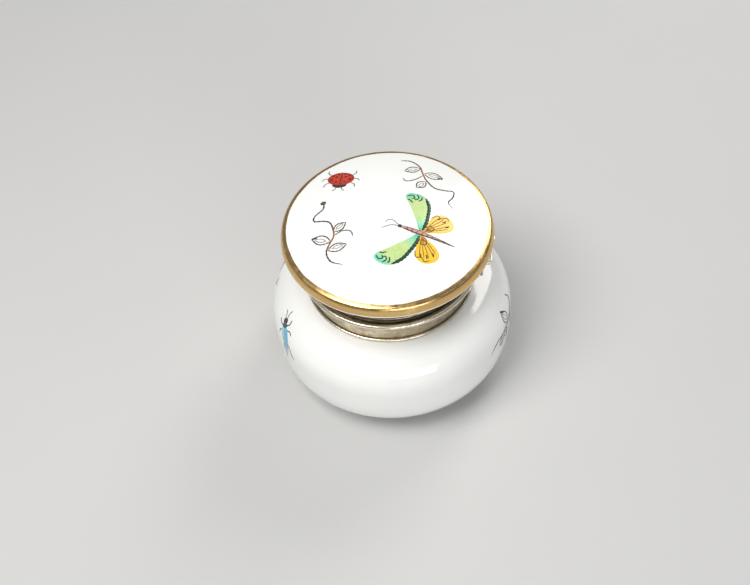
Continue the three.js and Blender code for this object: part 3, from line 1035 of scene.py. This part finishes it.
def pot_ground(bearing):
    """The belly round a bearing in degrees: x to the right, y up from the widest line."""
    outline = pot_outside_once()
    belly = int(np.argmax(outline[:, 0]))
    run = np.concatenate([[0], np.cumsum(np.hypot(*np.diff(outline, axis=0).T))])
    run -= run[belly]

    def ground(point):
        across, up = point
        r, z = np.interp(up, run, outline[:, 0]), np.interp(up, run, outline[:, 1])
        dr = np.interp(up + 0.05, run, outline[:, 0]) - np.interp(up - 0.05, run, outline[:, 0])
        dz = np.interp(up + 0.05, run, outline[:, 1]) - np.interp(up - 0.05, run, outline[:, 1])
        turn = (bearing + VIEW["turn"]) * RAD + across / outline[belly][0]
        size = math.hypot(dr, dz)
        out = np.array([dz / size * math.cos(turn), dz / size * math.sin(turn), -dr / size])
        return np.array([r * math.cos(turn), r * math.sin(turn), z]), out

    return ground


def facing(x, y):
    """A point given for an eye at -X, turned to where the camera really stands."""
    c, s = math.cos(VIEW["turn"] * RAD), math.sin(VIEW["turn"] * RAD)
    return c * x - s * y, s * x + c * y


@functools.cache
def sizes_once():
    return sizes()


@functools.cache
def pot_outside_once():
    return pot_outside(160)


def dome_height_once(radius):
    s = sizes_once()
    return LID_HIGH[2] - s["dome_rise"] * (radius / (LID_HIGH[0] - s["rim_round"])) ** 2


def flowing(points, closed=False, density=0.14):
    """A smooth line through the given points."""
    p = np.array(points, float)
    count = len(p)
    spans = count if closed else count - 1
    smooth = []
    for i in range(spans):
        if closed:
            a, b, c, d = (p[(i + k) % count] for k in (-1, 0, 1, 2))
        else:
            a, b, c, d = (p[min(max(i + k, 0), count - 1)] for k in (-1, 0, 1, 2))
        steps = max(3, int(np.linalg.norm(c - b) / density))
        for t in np.linspace(0, 1, steps, endpoint=False):
            smooth.append(
                0.5 * (2 * b + (c - a) * t + (2 * a - 5 * b + 4 * c - d) * t**2 + (3 * b - a - 3 * c + d) * t**3)
            )
    if not closed:
        smooth.append(p[-1])
    return np.array(smooth)


def placed(points, at=(0, 0), turn=0.0, scale=1.0, mirror=False):
    """The points turned by degrees, scaled, and moved; mirror flips them about their own x."""
    p = np.array(points, float) * scale
    if mirror:
        p = p * [1, -1]
    c, s = math.cos(turn * RAD), math.sin(turn * RAD)
    return p @ np.array([[c, s], [-s, c]]) + np.array(at)


def srgb(r, g, b):
    """A colour given as 0 to 255 screen values, made linear."""
    return tuple(((v / 255 + 0.055) / 1.055) ** 2.4 if v > 10 else v / 255 / 12.92 for v in (r, g, b))


INK = srgb(58, 50, 44)
INK_SOFT = srgb(104, 90, 78)
INK_WARM = srgb(150, 96, 58)
INK_GREY = srgb(120, 116, 112)
INK_GREEN = srgb(24, 70, 50)
LADYBIRD_RED = srgb(206, 62, 36)
LADYBIRD_DEEP = srgb(150, 34, 24)
HEAD_DARK = srgb(48, 52, 46)
SPOT = srgb(84, 26, 20)
WING_LIME = srgb(196, 220, 146)
WING_MINT = srgb(126, 214, 180)
WING_TEAL = srgb(70, 178, 142)
WING_YELLOW = srgb(244, 196, 48)
WING_AMBER = srgb(226, 158, 26)
VEIN_AMBER = srgb(140, 88, 24)
VEIN_DARK = srgb(74, 60, 30)
BODY_PINK = srgb(206, 150, 138)
BODY_RIB = srgb(104, 54, 46)
BEETLE_BLUE = srgb(118, 182, 214)
BEETLE_AQUA = srgb(160, 220, 214)
BEETLE_DEEP = srgb(50, 118, 158)
BEETLE_TEAL = srgb(34, 84, 104)
BEETLE_HEAD = srgb(58, 50, 46)


def mixed(first, second, share):
    share = min(1.0, max(0.0, share))
    return tuple(a + (b - a) * share for a, b in zip(first, second))


class Painting:
    """Patches of colour and brush lines on one ground."""

    def __init__(self):
        self.verts, self.faces, self.tints = [], [], []
        self.line_points, self.line_edges = [], []
        self.line_widths, self.line_ups, self.line_tints = [], [], []

    def patch(self, ground, outline, tint, centre=None, layer=0):
        """A closed film of colour. tint is a colour or a function of a flat point."""
        outline = np.array(outline, float)
        centre = np.mean(outline, axis=0) if centre is None else np.array(centre, float)
        film = sizes_once()["paint_film"]
        edge_rings = ((1.0, 0.1), (0.985, 0.55), (0.94, 0.95), (0.85, 1.0))
        rings = edge_rings + ((0.68, 0.95), (0.5, 0.9), (0.3, 0.9), (0.12, 0.9))
        count, first = len(outline), len(self.verts)
        tint_at = tint if callable(tint) else (lambda point: tint)
        for share, lift in rings:
            for flat in centre + (outline - centre) * share:
                point, out = ground(flat)
                self.verts.append(point + out * film * (lift + 0.9 * layer))
                self.tints.append(tint_at(flat))
        point, out = ground(centre)
        self.verts.append(point + out * film * (0.9 + 0.9 * layer))
        self.tints.append(tint_at(centre))
        hub = len(self.verts) - 1
        for flat in outline:
            point, out = ground(centre + (flat - centre) * 0.98)
            self.verts.append(point - out * 0.04)
            self.tints.append(tint_at(flat))
        point, out = ground(centre)
        self.verts.append(point - out * 0.04)
        self.tints.append(tint_at(centre))
        under = len(self.verts) - 1
        self.faces += grid_faces(len(rings), count, first, wrap=True)
        inner = first + (len(rings) - 1) * count
        for j in range(count):
            k = (j + 1) % count
            self.faces.append([inner + j, inner + k, hub])
            self.faces.append([hub + 1 + k, hub + 1 + j, under])
            self.faces.append([first + k, first + j, hub + 1 + j, hub + 1 + k])

    def line(self, ground, points, width, tint=INK, warm=None, taper=(0.35, 0.25), layer=0.0):
        """A brush line of the given width in millimetres; warm=(where, how far) tints a stretch."""
        path = flowing(points)
        count = len(path)
        first = len(self.line_points)
        for i, flat in enumerate(path):
            t = i / (count - 1)
            point, out = ground(flat)
            press = 0.86 + 0.14 * math.sin(9 * t + len(self.line_edges))
            ends = min(1.0, taper[0] + t * 5, taper[1] + (1 - t) * 5)
            self.line_points.append(point + out * sizes_once()["paint_film"] * layer)
            self.line_widths.append(width * 0.5 * press * ends * MM)
            self.line_ups.append(out)
            share = 0.0
            if warm:
                share = math.exp(-(((t - warm[0]) / warm[1]) ** 2))
            self.line_tints.append(mixed(tint, INK_WARM, 0.85 * share))
            if i:
                self.line_edges.append((first + i - 1, first + i))

    def patches_piece(self, name):
        piece = finish_mesh(name, self.verts, self.faces, smooth_angle=70)
        paint_on(piece.data, self.tints)
        return piece

    def lines_piece(self, name):
        mesh = bpy.data.meshes.new(name)
        mesh.from_pydata([tuple(p * MM) for p in self.line_points], self.line_edges, [])
        width = mesh.attributes.new("width", "FLOAT", "POINT")
        width.data.foreach_set("value", self.line_widths)
        up = mesh.attributes.new("up", "FLOAT_VECTOR", "POINT")
        up.data.foreach_set("vector", np.array(self.line_ups).ravel())
        paint_on(mesh, self.line_tints)
        piece = bpy.data.objects.new(name, mesh)
        bpy.context.scene.collection.objects.link(piece)
        return swept(piece)


def paint_on(mesh, tints):
    attribute = mesh.color_attributes.new("paint", "FLOAT_COLOR", "POINT")
    attribute.data.foreach_set("color", np.array([(*t, 1.0) for t in tints], dtype=np.float32).ravel())


def brush_tree():
    """Geometry nodes that sweep a flat brush section along edges, by their own width and up."""
    if "brush_lines" in bpy.data.node_groups:
        return bpy.data.node_groups["brush_lines"]
    tree = bpy.data.node_groups.new("brush_lines", "GeometryNodeTree")
    face = tree.interface
    face.new_socket("Geometry", in_out="INPUT", socket_type="NodeSocketGeometry")
    face.new_socket("Flatness", in_out="INPUT", socket_type="NodeSocketFloat")
    face.new_socket("Sides", in_out="INPUT", socket_type="NodeSocketInt")
    face.new_socket("Ink", in_out="INPUT", socket_type="NodeSocketMaterial")
    face.new_socket("Geometry", in_out="OUTPUT", socket_type="NodeSocketGeometry")

    def node(kind, **settings):
        made = tree.nodes.new(kind)
        for key, value in settings.items():
            setattr(made, key, value)
        return made

    def join(output, socket):
        tree.links.new(output, socket)

    given, result = node("NodeGroupInput"), node("NodeGroupOutput")
    width = node("GeometryNodeInputNamedAttribute", data_type="FLOAT")
    width.inputs["Name"].default_value = "width"
    up = node("GeometryNodeInputNamedAttribute", data_type="FLOAT_VECTOR")
    up.inputs["Name"].default_value = "up"
    curve = node("GeometryNodeMeshToCurve")
    normal = node("GeometryNodeSetCurveNormal", mode="FREE")
    ring = node("GeometryNodeCurvePrimitiveCircle", mode="RADIUS")
    ring.inputs["Radius"].default_value = 1.0
    scale = node("ShaderNodeCombineXYZ")
    scale.inputs["Y"].default_value = 1.0
    scale.inputs["Z"].default_value = 1.0
    flat = node("GeometryNodeTransform")
    sweep = node("GeometryNodeCurveToMesh")
    sweep.inputs["Fill Caps"].default_value = True
    real = node("GeometryNodeRealizeInstances")
    ink = node("GeometryNodeSetMaterial")

    join(given.outputs["Geometry"], curve.inputs["Mesh"])
    join(curve.outputs["Curve"], normal.inputs["Curve"])
    join(up.outputs["Attribute"], normal.inputs["Normal"])
    join(normal.outputs["Curve"], sweep.inputs["Curve"])
    join(given.outputs["Sides"], ring.inputs["Resolution"])
    join(ring.outputs["Curve"], flat.inputs["Geometry"])
    join(given.outputs["Flatness"], scale.inputs["X"])
    join(scale.outputs["Vector"], flat.inputs["Scale"])
    join(flat.outputs["Geometry"], sweep.inputs["Profile Curve"])
    join(width.outputs["Attribute"], sweep.inputs["Scale"])
    join(sweep.outputs["Mesh"], real.inputs["Geometry"])
    join(real.outputs["Geometry"], ink.inputs["Geometry"])
    join(given.outputs["Ink"], ink.inputs["Material"])
    join(ink.outputs["Geometry"], result.inputs["Geometry"])
    return tree


def swept(piece, flatness=0.3, sides=8):
    """Runs the brush tree on a piece and keeps the result as plain mesh."""
    tree = brush_tree()
    modifier = piece.modifiers.new("Brush lines", "NODES")
    modifier.node_group = tree
    ids = {item.name: item.identifier for item in tree.interface.items_tree if item.in_out == "INPUT"}
    modifier[ids["Flatness"]] = flatness
    modifier[ids["Sides"]] = sides
    modifier[ids["Ink"]] = finish(ink_finish)
    depsgraph = bpy.context.evaluated_depsgraph_get()
    baked = bpy.data.meshes.new_from_object(piece.evaluated_get(depsgraph))
    piece.modifiers.clear()
    piece.data = baked
    if not baked.polygons:
        raise RuntimeError(piece.name + ": the brush tree made no faces")
    baked.polygons.foreach_set("use_smooth", [True] * len(baked.polygons))
    return piece


# ---- Motifs ----


def oval(length_x, length_y, steps=40):
    return circle(0, 0, 1, steps) * [length_x / 2, length_y / 2]


def ladybird(art, ground, at, turn, scale=1.0):
    """Seen from above, head towards its own -y."""

    def put(points):
        return placed(points, at, turn, scale)

    def shell_tint(point):
        away = np.linalg.norm((point - put([(0, 0.5)])[0]) / scale)
        return mixed(LADYBIRD_RED, LADYBIRD_DEEP, (away - 1.3) / 1.6)

    legs = (
        [(2.2, -0.9), (3.0, -1.4), (3.2, -2.3)],
        [(2.6, 0.4), (3.5, 0.3), (3.9, -0.3)],
        [(2.2, 1.5), (2.9, 2.2), (2.8, 3.0)],
    )
    for leg in legs:
        art.line(ground, put(leg), 0.3 * scale, INK_GREY)
        art.line(ground, put([(-x, y + 0.15) for x, y in leg]), 0.3 * scale, INK_GREY)
    for side in (-1, 1):
        feeler = [(0.5 * side, -2.3), (0.8 * side, -3.0), (1.3 * side, -3.4)]
        art.line(ground, put(feeler), 0.26 * scale, INK_GREY)
    art.patch(ground, put(oval(3.0, 1.9) + [0, -1.55]), HEAD_DARK)
    art.patch(ground, put(oval(5.5, 4.1) + [0, 0.35]), shell_tint, layer=1)
    art.line(ground, put([(0, -1.6), (0.08, 0.3), (0, 2.3)]), 0.34 * scale, HEAD_DARK, layer=2.0)
    spots = ((0.9, -0.6), (1.9, 0.1), (0.95, 0.9), (1.75, 1.35), (0.6, 1.8))
    for x, y in spots:
        for side in (-1, 1):
            art.patch(ground, put(oval(0.62, 0.5, 18) + [side * x, y]), SPOT, layer=2)


FOREWING = ((0.25, 0.35), (1.9, 2.6), (4.1, 5.4), (6.1, 7.6), (6.0, 8.8), (4.4, 9.4), (2.5, 9.0), (1.0, 7.1),
            (0.25, 4.7), (-0.15, 2.2))
HINDWING = ((-0.25, 0.5), (-0.45, 2.4), (-0.8, 4.6), (-1.9, 6.0), (-3.6, 6.1), (-5.1, 4.9), (-5.3, 3.3),
            (-4.0, 1.9), (-1.9, 0.9))


def butterfly(art, ground, at, turn, scale=1.0):
    """Wings spread, head towards its own x."""

    def put(points, mirror=False):
        return placed(points, at, turn, scale, mirror)

    root = put([(0, 0)])[0]

    def fore_tint(point):
        away = np.linalg.norm(point - root) / scale
        near_root = mixed(WING_TEAL, WING_MINT, away / 2.2)
        body = mixed(near_root, WING_LIME, (away - 1.6) / 2.6)
        return mixed(body, WING_MINT, (away - 8.4) / 1.6)

    def hind_tint(point):
        away = np.linalg.norm(point - root) / scale
        return mixed(WING_AMBER, WING_YELLOW, (away - 0.6) / 1.8)

    for mirror in (False, True):
        art.patch(ground, put(flowing(HINDWING, True, 0.3), mirror), hind_tint, put([(-2.9, 3.4)], mirror)[0])
        forewing = put(flowing(FOREWING, True, 0.3), mirror)
        art.patch(ground, forewing, fore_tint, put([(2.2, 5.4)], mirror)[0], layer=1)
        for end in ((-2.0, 5.3), (-2.9, 5.2), (-3.8, 4.9), (-4.4, 4.1), (-4.5, 3.3)):
            middle = (end[0] * 0.52 - 0.05, end[1] * 0.5 + 0.1)
            art.line(ground, put([(-0.7, 0.95), middle, end], mirror), 0.2 * scale, VEIN_AMBER, layer=1.0)
        for tick in ((-1.7, 4.5), (-2.9, 4.3), (-3.9, 3.4)):
            dash = [(tick[0], tick[1]), (tick[0] - 0.35, tick[1] + 0.3), (tick[0] - 0.5, tick[1] + 0.8)]
            art.line(ground, put(dash, mirror), 0.3 * scale, VEIN_DARK, layer=1.2)
        cell = [(-0.5, 0.8), (-1.5, 0.95), (-2.1, 1.9), (-1.3, 2.4), (-0.6, 1.7)]
        art.line(ground, put(cell, mirror), 0.24 * scale, VEIN_DARK, layer=1.2)
        scallop = [(-0.6, 4.2), (-1.3, 5.5), (-2.4, 5.2), (-3.2, 5.8), (-4.1, 5.1)]
        art.line(ground, put(scallop, mirror), 0.22 * scale, VEIN_DARK, layer=1.2)
        margin = [(-0.1, 0.7), (-0.2, 2.3), (0.2, 4.6), (0.95, 7.0), (2.4, 8.9)]
        art.line(ground, put(margin, mirror), 0.82 * scale, INK_GREEN, taper=(0.3, 0.2), layer=2.0)
        curls = (
            [(5.9, 8.0), (5.2, 8.6), (4.5, 8.2), (4.9, 7.6)],
            [(4.3, 9.1), (3.7, 8.4), (4.0, 7.7), (4.6, 8.0)],
            [(5.6, 7.2), (4.9, 7.1), (4.3, 6.6)],
            [(3.2, 8.9), (3.0, 8.2), (3.4, 7.5)],
        )
        for curl in curls:
            art.line(ground, put(curl, mirror), 0.34 * scale, INK_GREEN, layer=2.0)

    body = [(4.0, 0), (2.6, 0.26), (0.6, 0.4), (-1.6, 0.3), (-4.2, 0.16), (-6.7, 0),
            (-4.2, -0.16), (-1.6, -0.3), (0.6, -0.4), (2.6, -0.26)]
    art.patch(ground, put(flowing(body, True, 0.4)), BODY_PINK, layer=3)
    art.line(ground, put([(3.8, 0.22), (0.6, 0.42), (-2.4, 0.24), (-7.3, 0.0)]), 0.32 * scale, INK, layer=3.6)
    far_side = put([(3.8, -0.22), (0.6, -0.4), (-2.4, -0.24), (-6.4, -0.04)])
    art.line(ground, far_side, 0.2 * scale, INK_SOFT, layer=3.6)
    for x in np.linspace(2.8, -4.6, 8):
        art.line(ground, put([(x, 0.28), (x - 0.18, -0.26)]), 0.22 * scale, BODY_RIB, layer=3.8)
    art.patch(ground, put(oval(0.85, 0.75, 20) + [4.25, 0]), HEAD_DARK, layer=3)
    for feeler in ([(4.5, 0.1), (5.9, 0.3), (7.5, 1.7)], [(4.5, -0.1), (6.0, -0.9), (7.0, -0.6), (7.3, 0.2)]):
        art.line(ground, put(feeler), 0.22 * scale, INK_GREY)


def leaf(art, ground, base, tip, width, width_line=0.32, dark_tip=False):
    """An outlined leaf from base to tip, with a second line inside it."""
    base, tip = np.array(base, float), np.array(tip, float)
    along = tip - base
    side = np.array([-along[1], along[0]]) / np.linalg.norm(along) * width / 2
    for sign in (1, -1):
        points = [base, base + along * 0.28 + side * sign * 0.86, base + along * 0.6 + side * sign, tip]
        art.line(ground, points, width_line, warm=(0.05, 0.18))
    inner = [
        base + along * 0.2,
        base + along * 0.42 + side * 0.42,
        base + along * 0.66 + side * 0.4,
        base + along * 0.84,
    ]
    midrib = [base + along * 0.24, base + along * 0.5 - side * 0.3, base + along * 0.8]
    art.line(ground, inner, width_line * 0.62, INK_SOFT)
    art.line(ground, midrib, width_line * 0.5, INK_SOFT)
    if dark_tip:
        edge = [tip - along * 0.26 - side * 0.45, tip - along * 0.12 - side * 0.22, tip - along * 0.02]
        art.line(ground, edge, width_line * 1.7, INK)


def vine(art, ground, stem, leaves, curls, joints=(0.5,), knob=False):
    """A winding stem with leaves (base, tip, width, dark) and curling shoots."""
    art.line(ground, stem, 0.38, warm=(joints[0], 0.12), taper=(0.7, 0.35))
    for base, tip, width, dark in leaves:
        leaf(art, ground, base, tip, width, dark_tip=dark)
    for curl in curls:
        art.line(ground, curl, 0.3, warm=(0.0, 0.2))
    if knob:
        art.patch(ground, oval(1.05, 0.85, 20) + stem[0], INK_SOFT, layer=1)
        art.line(ground, oval(1.05, 0.85, 12) + stem[0], 0.22, INK, layer=1.2)


def beetle(art, ground, at, turn, scale=1.0):
    """A long blue beetle, head towards its own y."""

    def put(points):
        return placed(points, at, turn, scale)

    def case_tint(point):
        flat = (point - put([(0, -0.6)])[0]) / scale
        across = flat[0] * math.cos(turn * RAD) + flat[1] * math.sin(turn * RAD)
        along = -flat[0] * math.sin(turn * RAD) + flat[1] * math.cos(turn * RAD)
        base = mixed(BEETLE_AQUA, BEETLE_BLUE, 0.5 + across * 0.6)
        return mixed(base, BEETLE_DEEP, (abs(across) - 0.9) / 0.7 + (-along - 2.2) / 2.5)

    legs = (
        [(0.9, 2.0), (1.8, 2.5), (2.1, 3.5)],
        [(1.2, 0.9), (2.3, 0.7), (2.7, -0.2)],
        [(1.0, -2.2), (1.6, -3.4), (1.5, -5.2), (2.1, -5.9)],
    )
    for leg in legs:
        art.line(ground, put(leg), 0.34 * scale, BEETLE_HEAD)
        art.line(ground, put([(-x, y) for x, y in leg]), 0.34 * scale, BEETLE_HEAD)
    for side in (-1, 1):
        feeler = [(0.35 * side, 3.7), (0.5 * side, 4.8), (1.0 * side, 5.7)]
        art.line(ground, put(feeler), 0.3 * scale, INK_GREY)
    case = [(0, 1.6), (1.1, 1.3), (1.5, -0.4), (1.25, -2.4), (0.5, -4.0), (0, -4.4),
            (-0.5, -4.0), (-1.25, -2.4), (-1.5, -0.4), (-1.1, 1.3)]
    art.patch(ground, put(flowing(case, True, 0.35)), case_tint, layer=0)
    art.patch(ground, put(oval(2.0, 1.2, 28) + [0, 2.0]), BEETLE_TEAL, layer=1)
    art.patch(ground, put(oval(1.5, 1.5, 28) + [0, 3.05]), BEETLE_HEAD, layer=1)
    art.line(ground, put([(0, 1.4), (0.06, -1.2), (0, -4.2)]), 0.16 * scale, BEETLE_DEEP, layer=1.2)
    for x in (-0.7, 0.7):
        groove = put([(x, 0.9), (x * 1.1, -1.2), (x * 0.6, -3.2)])
        art.line(ground, groove, 0.12 * scale, BEETLE_DEEP, layer=1.0)


class PILLBOX_OT_lid_painting(bpy.types.Operator):
    """Paint the lid: a butterfly, a ladybird and two winding sprigs"""

    bl_idname = "pillbox.lid_painting"
    bl_label = "Lid painting"

    def execute(self, context):
        art = Painting()
        ladybird(art, lid_ground, at=(-8.45, 12.1), turn=-12)
        butterfly(art, lid_ground, at=(6.3, -4.9), turn=153)
        vine(
            art, lid_ground,
            stem=[(4.2, 16.6), (6.2, 16.2), (7.8, 14.2), (8.2, 12.0), (8.8, 9.6), (10.2, 7.3), (12.2, 6.6),
                  (13.9, 6.3), (13.6, 4.6), (12.6, 3.1), (13.5, 1.3)],
            leaves=[((7.9, 13.6), (4.6, 12.9), 1.7, False), ((8.5, 11.9), (12.2, 10.2), 1.8, True),
                    ((8.6, 9.2), (6.6, 7.4), 1.7, False)],
            curls=[[(8.3, 11.3), (6.6, 10.0), (4.7, 9.6), (4.1, 10.7)]],
            joints=(0.33,),
        )
        vine(
            art, lid_ground,
            stem=[(-12.2, 5.8), (-12.3, 4.2), (-14.1, 2.6), (-14.2, 1.3), (-12.6, 0.9), (-11.2, 0.2),
                  (-10.6, -1.7), (-10.6, -3.6), (-11.6, -5.4), (-12.2, -7.2), (-11.4, -9.3), (-9.2, -10.4)],
            leaves=[((-10.6, -2.3), (-8.0, -0.5), 1.6, False), ((-11.2, -4.6), (-15.0, -3.1), 2.0, True),
                    ((-11.9, -6.6), (-8.1, -5.9), 1.7, False)],
            curls=[[(-10.6, -3.4), (-8.8, -2.5), (-7.2, -2.9), (-6.8, -4.3)]],
            joints=(0.6,),
            knob=True,
        )
        dress(art.patches_piece("lid_colours"), "lid", "porcelain", finish(enamel_finish))
        dress(art.lines_piece("lid_brush_lines"), "lid", "porcelain")
        return {"FINISHED"}


SPRIG_STEM = ((5.4, 5.7), (6.0, 4.2), (4.9, 2.9), (3.9, 2.0), (2.6, 1.3), (0.4, 1.3),
              (-2.0, 1.2), (-4.4, 1.4), (-6.9, 0.0))
SPRIG_LEAVES = (((1.6, 1.4), (0.3, 5.9), 2.0, True), ((-0.4, 1.2), (0.8, -1.8), 1.8, False),
                ((-1.9, 1.2), (-2.6, -1.7), 1.7, False))
SPRIG_CURLS = ([(3.4, 1.6), (4.4, 0.2), (3.6, -0.9)],)


class PILLBOX_OT_pot_painting(bpy.types.Operator):
    """Paint the belly: a beetle and sprigs, with a small butterfly at the back"""

    bl_idname = "pillbox.pot_painting"
    bl_label = "Pot painting"

    def execute(self, context):
        art = Painting()
        beetle(art, pot_ground(112), at=(0.0, 4.1), turn=34, scale=0.92)
        for bearing in (-114, 66, -38):
            vine(art, pot_ground(bearing), SPRIG_STEM, SPRIG_LEAVES, SPRIG_CURLS, joints=(0.55,))
        butterfly(art, pot_ground(10), at=(0.0, 2.6), turn=70, scale=0.62)
        dress(art.patches_piece("pot_colours"), "base", "porcelain", finish(enamel_finish))
        dress(art.lines_piece("pot_brush_lines"), "base", "porcelain")
        return {"FINISHED"}


# ---- Stage ----


def area_light(name, place, target, size, watts, tint=(1, 1, 1)):
    data = bpy.data.lights.new(name, "AREA")
    data.shape = "RECTANGLE"
    data.size, data.size_y = size[0] * MM, size[1] * MM
    data.energy = watts
    data.color = tint
    lamp = bpy.data.objects.new(name, data)
    bpy.context.scene.collection.objects.link(lamp)
    lamp.location = Vector(place) * MM
    lamp.rotation_euler = (Vector(target) - Vector(place)).to_track_quat("-Z", "Y").to_euler()
    return lamp


class PILLBOX_OT_stage(bpy.types.Operator):
    """Lay the floor, hang the lights and set the camera"""

    bl_idname = "pillbox.stage"
    bl_label = "Stage"

    def execute(self, context):
        scene = context.scene
        half = 3000.0
        corners = [(-half, -half, 0), (half, -half, 0), (half, half, 0), (-half, half, 0)]
        mesh = bpy.data.meshes.new("floor")
        mesh.from_pydata([tuple(c * MM for c in corner) for corner in corners], [], [[0, 1, 2, 3]])
        floor = bpy.data.objects.new("floor", mesh)
        scene.collection.objects.link(floor)
        paper = Finish("pale_floor", Roughness=0.85)
        pale = colours().floor
        tone = paper.blend(paper.spread(paper.noise(25, 2), 0.3, 0.7), pale, [c * 0.985 for c in pale])
        mesh.materials.append(paper.surface(tone))

        e, roll = VIEW["elevation"] * RAD, VIEW["roll"] * RAD
        back = Vector((*facing(-math.cos(e), 0), math.sin(e)))
        right = Vector((*facing(0, -1), 0))
        up = back.cross(right)
        turned_right = right * math.cos(roll) - up * math.sin(roll)
        turned_up = right * math.sin(roll) + up * math.cos(roll)
        aim = Vector((0, 0, VIEW["aim_height"]))
        spot = aim + back * VIEW["distance"] + turned_right * VIEW["slide"][0] + turned_up * VIEW["slide"][1]
        data = bpy.data.cameras.new("camera")
        data.lens, data.sensor_width = VIEW["lens"], VIEW["sensor"]
        data.clip_start, data.clip_end = 0.01, 20
        camera = bpy.data.objects.new("camera", data)
        scene.collection.objects.link(camera)
        turn = Matrix((turned_right, turned_up, back)).transposed().to_4x4()
        camera.matrix_world = Matrix.Translation(spot * MM) @ turn
        scene.camera = camera

        target = (0, 0, 22)
        area_light("key", (-150, 130, 420), target, (240, 240), 1.55, (1.0, 0.99, 0.97))
        area_light("fill", (-360, -180, 170), target, (260, 180), 0.5, (0.97, 0.985, 1.0))
        area_light("rim", (260, -120, 260), target, (160, 220), 0.5, (1.0, 0.99, 0.97))
        scene.view_settings.view_transform = "Standard"
        world = bpy.data.worlds.new("studio")
        world.use_nodes = True
        world.node_tree.nodes["Background"].inputs[0].default_value = (0.8, 0.82, 0.85, 1)
        world.node_tree.nodes["Background"].inputs[1].default_value = 0.3
        scene.world = world
        return {"FINISHED"}


OPERATORS = (
    PILLBOX_OT_pot,
    PILLBOX_OT_pot_mount,
    PILLBOX_OT_hinge,
    PILLBOX_OT_lid,
    PILLBOX_OT_lid_mount,
    PILLBOX_OT_clasp,
    PILLBOX_OT_lid_painting,
    PILLBOX_OT_pot_painting,
    PILLBOX_OT_stage,
)


class PILLBOX_PT_panel(bpy.types.Panel):
    """Lists the pill box's sizes, colours and pieces"""

    bl_idname = "PILLBOX_PT_panel"
    bl_label = "Pill Box"
    bl_space_type = "VIEW_3D"
    bl_region_type = "UI"
    bl_category = "Pill Box"

    def draw(self, context):
        for group in (context.scene.pill_box_sizes, context.scene.pill_box_colours):
            box = self.layout.box()
            for key in group.__annotations__:
                box.prop(group, key)
        for operator in OPERATORS:
            self.layout.operator(operator.bl_idname)


CLASSES = (PillBoxSizes, PillBoxColours, *OPERATORS, PILLBOX_PT_panel)


def register():
    for cls in CLASSES:
        bpy.utils.register_class(cls)
    bpy.types.Scene.pill_box_sizes = PointerProperty(type=PillBoxSizes)
    bpy.types.Scene.pill_box_colours = PointerProperty(type=PillBoxColours)


def unregister():
    del bpy.types.Scene.pill_box_colours
    del bpy.types.Scene.pill_box_sizes
    for cls in reversed(CLASSES):
        bpy.utils.unregister_class(cls)


def main():
    register()
    for operator in OPERATORS:
        group, action = operator.bl_idname.split(".")
        getattr(getattr(bpy.ops, group), action)()


if __name__ == "__main__":
    main()
